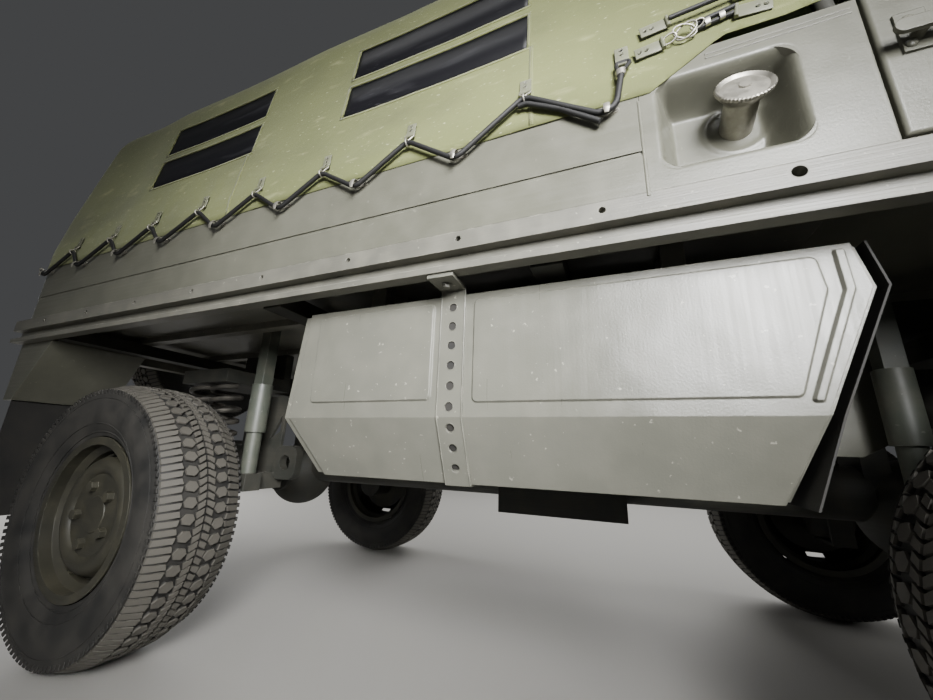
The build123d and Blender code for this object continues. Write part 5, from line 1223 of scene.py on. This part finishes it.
# %% Pressed dish
DISH_MIDDLE = (0.555, 1.153)
DISH_HALF = (0.1025, 0.0950)
DISH_CORNER = 0.026
DISH_DEPTH = 0.0712
DISH_RUN = 0.038
DISH_RIM = 0.010
DISH_CLEARANCE = 0.0002
NECK_OFF = (0.030, 0.014)
BEAD_RADIUS = 0.048
BEAD_HEIGHT = 0.0030
BEAD_WIDTH = 0.006
PANEL_Y = 0.880
dish_bm = bmesh.new()
bmesh.ops.create_grid(dish_bm, x_segments=72, y_segments=68, size=1.0)
for vert in dish_bm.verts:
    off_x = vert.co.x * (DISH_HALF[0] + DISH_RIM)
    off_z = vert.co.y * (DISH_HALF[1] + DISH_RIM)
    over_x = abs(off_x) - DISH_HALF[0] + DISH_CORNER
    over_z = abs(off_z) - DISH_HALF[1] + DISH_CORNER
    outside = math.hypot(max(over_x, 0), max(over_z, 0)) + min(max(over_x, over_z), 0)
    share = min(1.0, max(0.0, (DISH_CORNER - outside) / DISH_RUN))
    pressed = DISH_DEPTH * share * share * (3 - 2 * share)
    ring = math.hypot(off_x - NECK_OFF[0], off_z - NECK_OFF[1])
    raised = BEAD_HEIGHT * math.exp(-((ring - BEAD_RADIUS) / BEAD_WIDTH) ** 2) * share
    y = pressed - raised - PANEL_Y - DISH_CLEARANCE
    vert.co = (DISH_MIDDLE[0] + off_x, y, DISH_MIDDLE[1] + off_z)
face_outward(dish_bm)
if sum(face.normal.y for face in dish_bm.faces) > 0:
    bmesh.ops.reverse_faces(dish_bm, faces=dish_bm.faces[:])
add_piece("filler_dish", dish_bm, "body_paint", crease=80)

# %% Turned cap
CAP_FACE = (0.585, -0.868, 1.188)
CAP_TILT = math.radians(18)
CAP_STEPS = 96
KNURL_FROM = 0.0400
KNURL_SHARE = 0.965
CAP_PROFILE = [
    # radius, height
    (0.0000, 0.0105), (0.0080, 0.0104), (0.0088, 0.0080), (0.0220, 0.0076),
    (0.0345, 0.0055), (0.0385, 0.0085), (0.0412, 0.0094), (0.0428, 0.0080),
    (0.0429, 0.0040), (0.0405, 0.0015), (0.0360, -0.0035), (0.0300, -0.0085),
    (0.0265, -0.0120), (0.0255, -0.0180), (0.0255, -0.0900), (0.0000, -0.0900),
]
cap_bm = bmesh.new()
half_profile = add_profile(cap_bm, [(radius, 0, height) for radius, height in CAP_PROFILE])
spin_round(cap_bm, half_profile, (0, 0, 1), CAP_STEPS)
bmesh.ops.remove_doubles(cap_bm, verts=cap_bm.verts[:], dist=0.00005)
for vert in cap_bm.verts:
    tooth = round(math.atan2(vert.co.y, vert.co.x) * CAP_STEPS / math.tau) % 2
    if tooth and math.hypot(vert.co.x, vert.co.y) > KNURL_FROM:
        vert.co.x *= KNURL_SHARE
        vert.co.y *= KNURL_SHARE
lay_back = Matrix.Translation(CAP_FACE) @ Matrix.Rotation(math.pi / 2 - CAP_TILT, 4, "X")
bmesh.ops.transform(cap_bm, matrix=lay_back, verts=cap_bm.verts[:])
cut_edges = slice_off(cap_bm, (0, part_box("filler_cap")[1].y, 0), (0, 1, 0), 0.0)
bmesh.ops.holes_fill(cap_bm, edges=cut_edges)
face_outward(cap_bm)
cap = add_piece("filler_turned_cap", cap_bm, "cap_steel", crease=40)
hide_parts("filler_cap")

# %% [markdown]
# ## Trim
# Pressed steel is stiffened by folded edges and raised beads, which catch the light as thin bright
# lines. They are drawn with the same wire helper, flattened.

# %% Beads and screws on the walls
WALL_BEADS = [
    # x and z of the ends, half width, side, flatness
    ((0.4285, 1.2140), (0.4285, 1.0175), 0.0028, (1, 0, 0), 0.5),
    ((0.5373, 1.2648), (0.7300, 1.2674), 0.0022, (0, 0, 1), 0.6),
    ((0.5373, 1.2734), (0.7300, 1.2760), 0.0022, (0, 0, 1), 0.6),
]
HANDLE_SCREWS = [(0.781, 1.2190), (0.776, 1.1750)]
SCREW_TIERS = [
    # y of the foot, radius, height, sides
    (0.8842, 0.0070, 0.0030, 16),
    (0.8866, 0.0035, 0.0016, 6),
]
beads_bm = bmesh.new()
for start, end, radius, side, flat in WALL_BEADS:
    wire_along(beads_bm, [(x, PANEL_Y, z) for x, z in (start, end)], radius, 8, side=side, flat=flat)
add_piece("wall_beads", both_sides(beads_bm), "body_paint", crease=40)
for sign, side_name in ((-1, "right"), (1, "left")):
    screws_bm = bmesh.new()
    for x, z in HANDLE_SCREWS:
        for y, radius, height, sides in SCREW_TIERS:
            add_screw(screws_bm, Matrix.Translation((x, y, z)), radius, height, sides)
    bmesh.ops.scale(screws_bm, vec=(1, sign, 1), verts=screws_bm.verts[:])
    face_outward(screws_bm)
    add_piece("handle_screws_" + side_name, screws_bm, "body_paint", body="door_" + side_name, crease=30)

# %% Strap round the tank
STRAP_X = 0.046
STRAP_HALF = 0.028
STRAP_FACE = 0.8043
STRAP_TOP = 0.9360
CREASE = 0.665
UNDERCUT = 0.060
STRAP_FOOT = 0.5350
HOLE_PITCH = 0.042
HOLE_START = 0.020
HOLE_RADIUS = 0.0094
SHADE_DISC_SUNK = 0.0028
EDGE_WIRES = [(0.001 - STRAP_HALF, 0.0012), (STRAP_HALF - 0.001, 0.0019)]
STRAP_BOLT = [
    # radius, sides, foot, head
    (0.0110, 20, 0.9308, 0.9326),
    (0.0085, 6, 0.9245, 0.9309),
]
slope = Vector((0, UNDERCUT, -0.128)).normalized()
outward = Vector((0, slope.z, -slope.y))
strap_bm = bmesh.new()
# Painted shade: dark rubber discs sunk in the strap's holes stand for the shadow in the gap behind the strap.
hole_shade_bm = bmesh.new()
for off, radius in EDGE_WIRES:
    x = STRAP_X + off
    run = [(x, -STRAP_FACE, STRAP_TOP), (x, -STRAP_FACE, CREASE), (x, UNDERCUT - STRAP_FACE, STRAP_FOOT)]
    wire_along(strap_bm, run, radius, 8, side=(1, 0, 0))
crease_point = Vector((STRAP_X, -STRAP_FACE, CREASE))
holes = [(Vector((STRAP_X, -STRAP_FACE, CREASE + HOLE_START + HOLE_PITCH * step)), Vector((0, -1, 0)))
         for step in range(6)]
holes += [(crease_point + slope * (HOLE_PITCH * (step + 1) - HOLE_START), outward) for step in range(3)]
for spot, facing in holes:
    up = Vector((1, 0, 0)).cross(facing)
    loop = [spot + Vector((math.cos(angle), 0, 0)) * HOLE_RADIUS + up * math.sin(angle) * HOLE_RADIUS
            for angle in around(24)]
    wire_along(strap_bm, loop, 0.0008, 6, closed=True, side=facing)
    turn = (-facing).to_track_quat("Z", "Y").to_matrix().to_4x4()
    # Painted shade: a dark disc inside the hole, in place of the shadow there.
    bmesh.ops.create_cone(hole_shade_bm, cap_ends=True, segments=24, radius1=0.0089, radius2=0.0086,
                          depth=0.0012, matrix=Matrix.Translation(spot - facing * SHADE_DISC_SUNK) @ turn)
for radius, sides, low, high in STRAP_BOLT:
    add_rod(strap_bm, (STRAP_X, -0.840, low), (STRAP_X, -0.840, high), radius, sides)
face_outward(strap_bm)
face_outward(hole_shade_bm)
add_piece("strap_edges", strap_bm, "tank_paint", crease=40)
# The dark discs in the holes are painted shade.
add_piece("strap_hole_shade", hole_shade_bm, "flap_rubber", crease=40)

# %% [markdown]
# ## Seats
# Each seat has a steel box, a cushion and a back in leathercloth. A pad is blown up by the cloth
# simulation from a slightly smaller block: the skin crowns between the edges as real stuffing
# makes it. Sewn channels are pressed in afterwards. The left seat is the right one mirrored.

# %% Seat pads
PAD_CELL = 0.009
PAD_STEPS = 20
PAD_PUFF = 0.012
PAD_INSET = 0.011
PAD_CORNER = 0.020
PAD_PRESSURE = 4.0
CHANNEL_PITCH = 0.110
CHANNEL_WIDTH = 0.007
CHANNEL_DEPTH = 0.006


def settled_pad(name, low, high, flat_axis):
    """A padded block blown up by the cloth simulation, flat where it rests."""
    low, high = Vector(low), Vector(high)
    margin = Vector((PAD_INSET,) * 3)
    bm = bmesh.new()
    add_slab(bm, low + margin, high - margin, PAD_CORNER)
    mesh = pattern_of(name, bm)
    pad = bpy.data.objects.new(name, mesh)
    bpy.context.scene.collection.objects.link(pad)
    cells = pad.modifiers.new("cells", "REMESH")
    cells.mode = "VOXEL"
    cells.voxel_size = PAD_CELL
    start = bpy.data.meshes.new_from_object(pad.evaluated_get(bpy.context.evaluated_depsgraph_get()))
    pad.modifiers.clear()
    pad.data = start
    places = [vert.co.copy() for vert in start.vertices]
    blow = pad.modifiers.new("blow", "CLOTH")
    blow.settings.use_pressure = True
    blow.settings.uniform_pressure_force = PAD_PRESSURE
    blow.settings.effector_weights.gravity = 0.0
    blow.point_cache.frame_start = 1
    blow.point_cache.frame_end = PAD_STEPS
    for frame_number in range(1, PAD_STEPS + 1):
        bpy.context.scene.frame_set(frame_number)
    blown = bpy.data.meshes.new_from_object(pad.evaluated_get(bpy.context.evaluated_depsgraph_get()))
    for place, vert in zip(places, blown.vertices):
        move = vert.co - place
        place += move * min(1.0, PAD_PUFF / max(move.length, 0.000001))
    pad.modifiers.clear()
    bpy.context.scene.frame_set(1)
    bm = bmesh.new()
    bm.from_mesh(start)
    bpy.data.objects.remove(pad)
    axis = "xyz".index(flat_axis)
    for vert, place in zip(bm.verts, places):
        spread = (place.y - (low.y + high.y) / 2) / CHANNEL_PITCH
        off = (spread - round(spread)) * CHANNEL_PITCH
        groove = math.exp(-(off / CHANNEL_WIDTH) ** 2) if abs(spread) < 1.6 else 0.0
        crowned = max(0.0, vert.normal[axis])
        place[axis] = max(place[axis] - CHANNEL_DEPTH * groove * crowned ** 4, low[axis] + 0.0005)
        vert.co = place
    return bm


# %% Seats
SEAT_Y = (0.300, 0.780)
SEAT_FRONT = 1.340
SEAT_TOP = 1.1195
seat_bm = bmesh.new()
add_slab(seat_bm, (0.960, SEAT_Y[0], 1.0255), (SEAT_FRONT, SEAT_Y[1], SEAT_TOP), 0.010)
add_slab(seat_bm, (0.905, SEAT_Y[0] + 0.05, 1.125), (0.925, SEAT_Y[1] - 0.05, 1.660), 0.008)
seat_boxes = add_piece("seat_boxes", both_sides(seat_bm), "body_paint")
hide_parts("front_seats")
cushion_bm = settled_pad("cushion_block", (0.972, SEAT_Y[0], SEAT_TOP), (1.360, SEAT_Y[1], 1.2000), "z")
back_bm = settled_pad("back_block", (0.902, SEAT_Y[0], 1.1950), (0.980, SEAT_Y[1], 1.7000), "x")
for name, pad_bm in (("seat_cushions", cushion_bm), ("seat_backs", back_bm)):
    pads = add_piece(name, both_sides(pad_bm), "seat_cover", crease=80)
    smooth = pads.modifiers.new("smooth", "SUBSURF")
    smooth.levels = 1
    smooth.render_levels = 1
    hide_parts("front_seats")

# %% [markdown]
# ## Tyres
# An all-terrain tyre has rows of rubber blocks parted by grooves. The blocks are drawn flat, one
# pitch long, repeated round the wheel and wrapped onto the crown. The carcass under them is a
# section spun about the axle. Lettering on the sidewall is left out.

# %% Tyre section and tread
TYRE_RADIUS = 0.387
TYRE_STEPS = 96
TREAD_DEPTH = 0.009
PITCHES = 58
BLOCK_TAPER = 0.94
CROWN_LINE = [(0.0, 0.387), (0.050, 0.3857), (0.092, 0.381), (0.106, 0.373), (0.112, 0.359)]
SIDEWALL = [
    # distance from the tyre's middle, radius
    (0.1145, 0.350), (0.1185, 0.334), (0.1215, 0.318), (0.1222, 0.305), (0.1208, 0.285), (0.1165, 0.268),
    (0.1105, 0.254), (0.1040, 0.244), (0.0985, 0.236), (0.0940, 0.2245),
]
SIDE_RINGS = [
    # radius, distance from the middle, radius of the ring's wire
    (0.338, 0.1178, 0.0014),
    (0.262, 0.1140, 0.0018),
    (0.238, 0.1000, 0.0022),
]
pitch = math.tau * TYRE_RADIUS / PITCHES
BLOCKS = [
    # corners of each block as shares of the pitch along the tyre and metres across it
    [(0.05, 0.066), (0.42, 0.062), (0.50, 0.110), (0.10, 0.110)],
    [(0.55, 0.062), (0.92, 0.066), (1.00, 0.110), (0.60, 0.110)],
    [(0.30, 0.032), (0.66, 0.024), (0.98, 0.036), (0.86, 0.056), (0.52, 0.060), (0.22, 0.050)],
    [(0.02, 0.003), (0.36, 0.003), (0.62, 0.021), (0.24, 0.025)],
    [(0.50, 0.003), (0.86, 0.003), (1.10, 0.020), (0.74, 0.022)],
]


def crown_radius(across):
    """Radius of the tread's outline at a distance from the tyre's middle."""
    distance = abs(across)
    for (start, high), (end, low) in zip(CROWN_LINE, CROWN_LINE[1:]):
        if distance <= end:
            return high + (low - high) * (distance - start) / (end - start)
    return CROWN_LINE[-1][1]


def above_groove(across, radius):
    """Height of a point above the bottom of the tread's grooves, 0 on the sidewalls."""
    if abs(across) > CROWN_LINE[-1][0]:
        return 0.0
    return max(0.0, radius - crown_radius(across) + TREAD_DEPTH)


def tread_pitch():
    """One pitch of the tread, laid flat: x along the tyre, y across it, z down from the crown."""
    bm = bmesh.new()
    for sign, shift in ((1, 0.0), (-1, 0.5)):
        for corners in BLOCKS:
            ring = [bm.verts.new(((along + shift) * pitch, sign * across, -TREAD_DEPTH))
                    for along, across in corners]
            foot = bm.faces.new(ring)
            top = bmesh.ops.extrude_face_region(bm, geom=[foot])["geom"]
            verts = only(bmesh.types.BMVert, top)
            centre = sum((vert.co for vert in verts), Vector()) / len(verts)
            for vert in verts:
                vert.co = centre + (vert.co - centre) * BLOCK_TAPER
                vert.co.z = 0.0
    face_outward(bm)
    return pattern_of("tread_pitch", bm)


def wrap_round(bm):
    """Wraps a flat tread onto the tyre, its axle along Y."""
    for vert in bm.verts:
        angle = vert.co.x / TYRE_RADIUS
        radius = crown_radius(vert.co.y) + vert.co.z
        vert.co = Vector((radius * math.sin(angle), vert.co.y, radius * math.cos(angle)))


def add_carcass(bm):
    """The tyre under its tread, with three thin rings on each sidewall."""
    half = [(across, radius - TREAD_DEPTH) for across, radius in CROWN_LINE[:4]]
    half.append((0.1125, 0.359))
    half += SIDEWALL
    outline = [(-across, radius) for across, radius in reversed(half)] + half[1:]
    section = add_profile(bm, [(0, across, radius) for across, radius in outline])
    spin_round(bm, section, (0, 1, 0), TYRE_STEPS)
    for sign in (-1, 1):
        for radius, across, wire in SIDE_RINGS:
            place = Matrix.Translation((0, sign * across, radius)) @ Matrix.Rotation(math.pi / 2, 4, "Y")
            circle = bmesh.ops.create_circle(bm, segments=6, radius=wire, matrix=place)["verts"]
            spin_round(bm, circle + edges_at(circle), (0, 1, 0), TYRE_STEPS)


def make_tyre():
    """The whole tyre about the origin, axle along Y."""
    bm = bmesh.new()
    add_carcass(bm)
    tread = bmesh.new()
    block = tread_pitch()
    for index in range(PITCHES):
        stamp(tread, block, Matrix.Translation((index * pitch, 0, 0)))
    wrap_round(tread)
    # A row of small ribs stands under each shoulder
    rib = bmesh.new()
    add_slab(rib, (-0.006, -0.0015, -0.011), (0.006, 0.0015, 0.011), 0.001)
    rib_mesh = pattern_of("shoulder_rib", rib)
    for index in range(2 * PITCHES):
        turn = Matrix.Rotation(math.tau * (index + 0.25) / (2 * PITCHES), 4, "Y")
        for sign in (-1, 1):
            tilt = Matrix.Rotation(sign * math.radians(-14), 4, "X")
            stamp(tread, rib_mesh, turn @ Matrix.Translation((0, sign * 0.1140, 0.3545)) @ tilt)
    bm.from_mesh(pattern_of("tread", tread))
    face_outward(bm)
    return pattern_of("tyre", bm)


# %% Tyres on the wheels
SPUN_APART = 0.37
WHEELS = [
    # corner, body
    ("rear_right", "wheel_rear_right"),
    ("rear_left", "wheel_rear_left"),
    ("front_right", "wheel_front_right"),
    ("front_left", "wheel_front_left"),
    ("spare", "rear_door"),
]
tyre_mesh = make_tyre()
for index, (corner, body) in enumerate(WHEELS):
    node = f"tyre_{corner}"
    low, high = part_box(node)
    middle = (low + high) / 2
    quarter = Matrix.Rotation(math.pi / 2, 4, "Z") if corner == "spare" else Matrix.Identity(4)
    spun = Matrix.Rotation(SPUN_APART * index, 4, "Y")
    bm = bmesh.new()
    stamp(bm, tyre_mesh, Matrix.Translation(middle) @ quarter @ spun)
    tread_map = bm.loops.layers.uv.new("tread")
    for vert in bm.verts:
        off = vert.co - middle
        across = off.x if corner == "spare" else off.y
        height = above_groove(across, math.sqrt(max(0.0, off.length_squared - across * across)))
        for loop in vert.link_loops:
            loop[tread_map].uv = (across, height)
    piece = add_piece(f"{node}_tread", bm, "tyre", body, crease=30)
    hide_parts(node)

# %% [markdown]
# ## Coil springs
# A spring is a round wire wound on a cylinder. A circle of eight corners is spun about the spring's
# axis while it climbs, which is what the spin operator's offset is for.

# %% Coil springs
SPRING_TURNS = 6
SPRING_STEPS = 24
SPRING_WIRE = 0.0090
SPRING_MEAN = 0.0490
SPRING_PAIRS = [(-1.100, 0.500), (1.100, 0.400)]
SPRING_APART = 0.062


def coil(bm, x, y, foot, head):
    """A coil spring between two heights."""
    rise = head - foot - 2 * SPRING_WIRE
    steps = round(SPRING_TURNS * SPRING_STEPS)
    start = Vector((x + SPRING_MEAN, y, foot + SPRING_WIRE))
    place = Matrix.Translation(start) @ Matrix.Rotation(math.pi / 2, 4, "X")
    circle = bmesh.ops.create_circle(bm, segments=8, radius=SPRING_WIRE, matrix=place)["verts"]
    bmesh.ops.spin(bm, geom=circle + edges_at(circle), cent=(x, y, 0), axis=(0, 0, 1),
                   angle=math.tau * SPRING_TURNS, steps=steps, dvec=(0, 0, rise / steps), use_merge=False)


spring_low, spring_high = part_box("coil_springs")
springs_bm = bmesh.new()
for axle_x, spring_y in SPRING_PAIRS:
    for sign in (-1, 1):
        for shift in (-SPRING_APART, SPRING_APART):
            coil(springs_bm, axle_x + shift, sign * spring_y, spring_low.z, spring_high.z)
bmesh.ops.holes_fill(springs_bm, edges=[edge for edge in springs_bm.edges if edge.is_boundary])
face_outward(springs_bm)
springs = add_piece("spring_coils", springs_bm, "spring_steel")
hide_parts("coil_springs")

# %% [markdown]
# ## Stage
# A plain pale floor and six softboxes under a dim, even sky. The key light stands beside the camera
# with its spread narrowed, as a work lamp's would be; a weak fill, a wide light on each of the other
# sides and one overhead carry the forms round.

# %% Floor and light
SKY_STRENGTH = 0.09
SOFTBOXES = [
    # name, place, aimed at, size, watts, spread in degrees
    ("key", (0.95, -2.3, 1.45), (0.00, -0.85, 0.94), 0.9, 33, 68),
    ("fill", (-3.4, -4.0, 2.4), (-0.6, -0.8, 1.0), 3.0, 5, 180),
    ("far", (0.5, 4.5, 4.0), (0.0, 0.8, 1.0), 4.0, 230, 180),
    ("rear", (-5.2, 1.2, 2.4), (-1.8, 0.0, 1.0), 3.0, 150, 180),
    ("front", (5.4, 1.0, 2.6), (1.9, 0.0, 1.0), 3.0, 130, 180),
    ("top", (0.0, 0.0, 6.0), (0.0, 0.0, 1.0), 5.0, 90, 180),
]
floor_bm = bmesh.new()
bmesh.ops.create_grid(floor_bm, x_segments=1, y_segments=1, size=30)
floor_mesh = pattern_of("floor", floor_bm)
floor = bpy.data.objects.new("floor", floor_mesh)
bpy.context.scene.collection.objects.link(floor)
floor_finish, floor_shader, _ = new_finish("pale_floor")
set_shader(floor_finish, floor_shader, Base_Color=linear("#a3a19c"), Roughness=0.75)
floor_mesh.materials.append(floor_finish)

world = bpy.data.worlds.new("studio")
world.use_nodes = True
sky = world.node_tree.nodes["Background"]
sky.inputs["Color"].default_value = linear("#d9dbde")
sky.inputs["Strength"].default_value = SKY_STRENGTH
bpy.context.scene.world = world

for name, place, target, size, watts, spread in SOFTBOXES:
    box = bpy.data.lights.new(name, "AREA")
    box.size = size
    box.energy = watts
    box.spread = math.radians(spread)
    lamp = bpy.data.objects.new(name, box)
    aim = (Vector(target) - Vector(place)).to_track_quat("-Z", "Y").to_matrix().to_4x4()
    lamp.matrix_world = Matrix.Translation(place) @ aim
    bpy.context.scene.collection.objects.link(lamp)
print("softboxes:", len(SOFTBOXES))
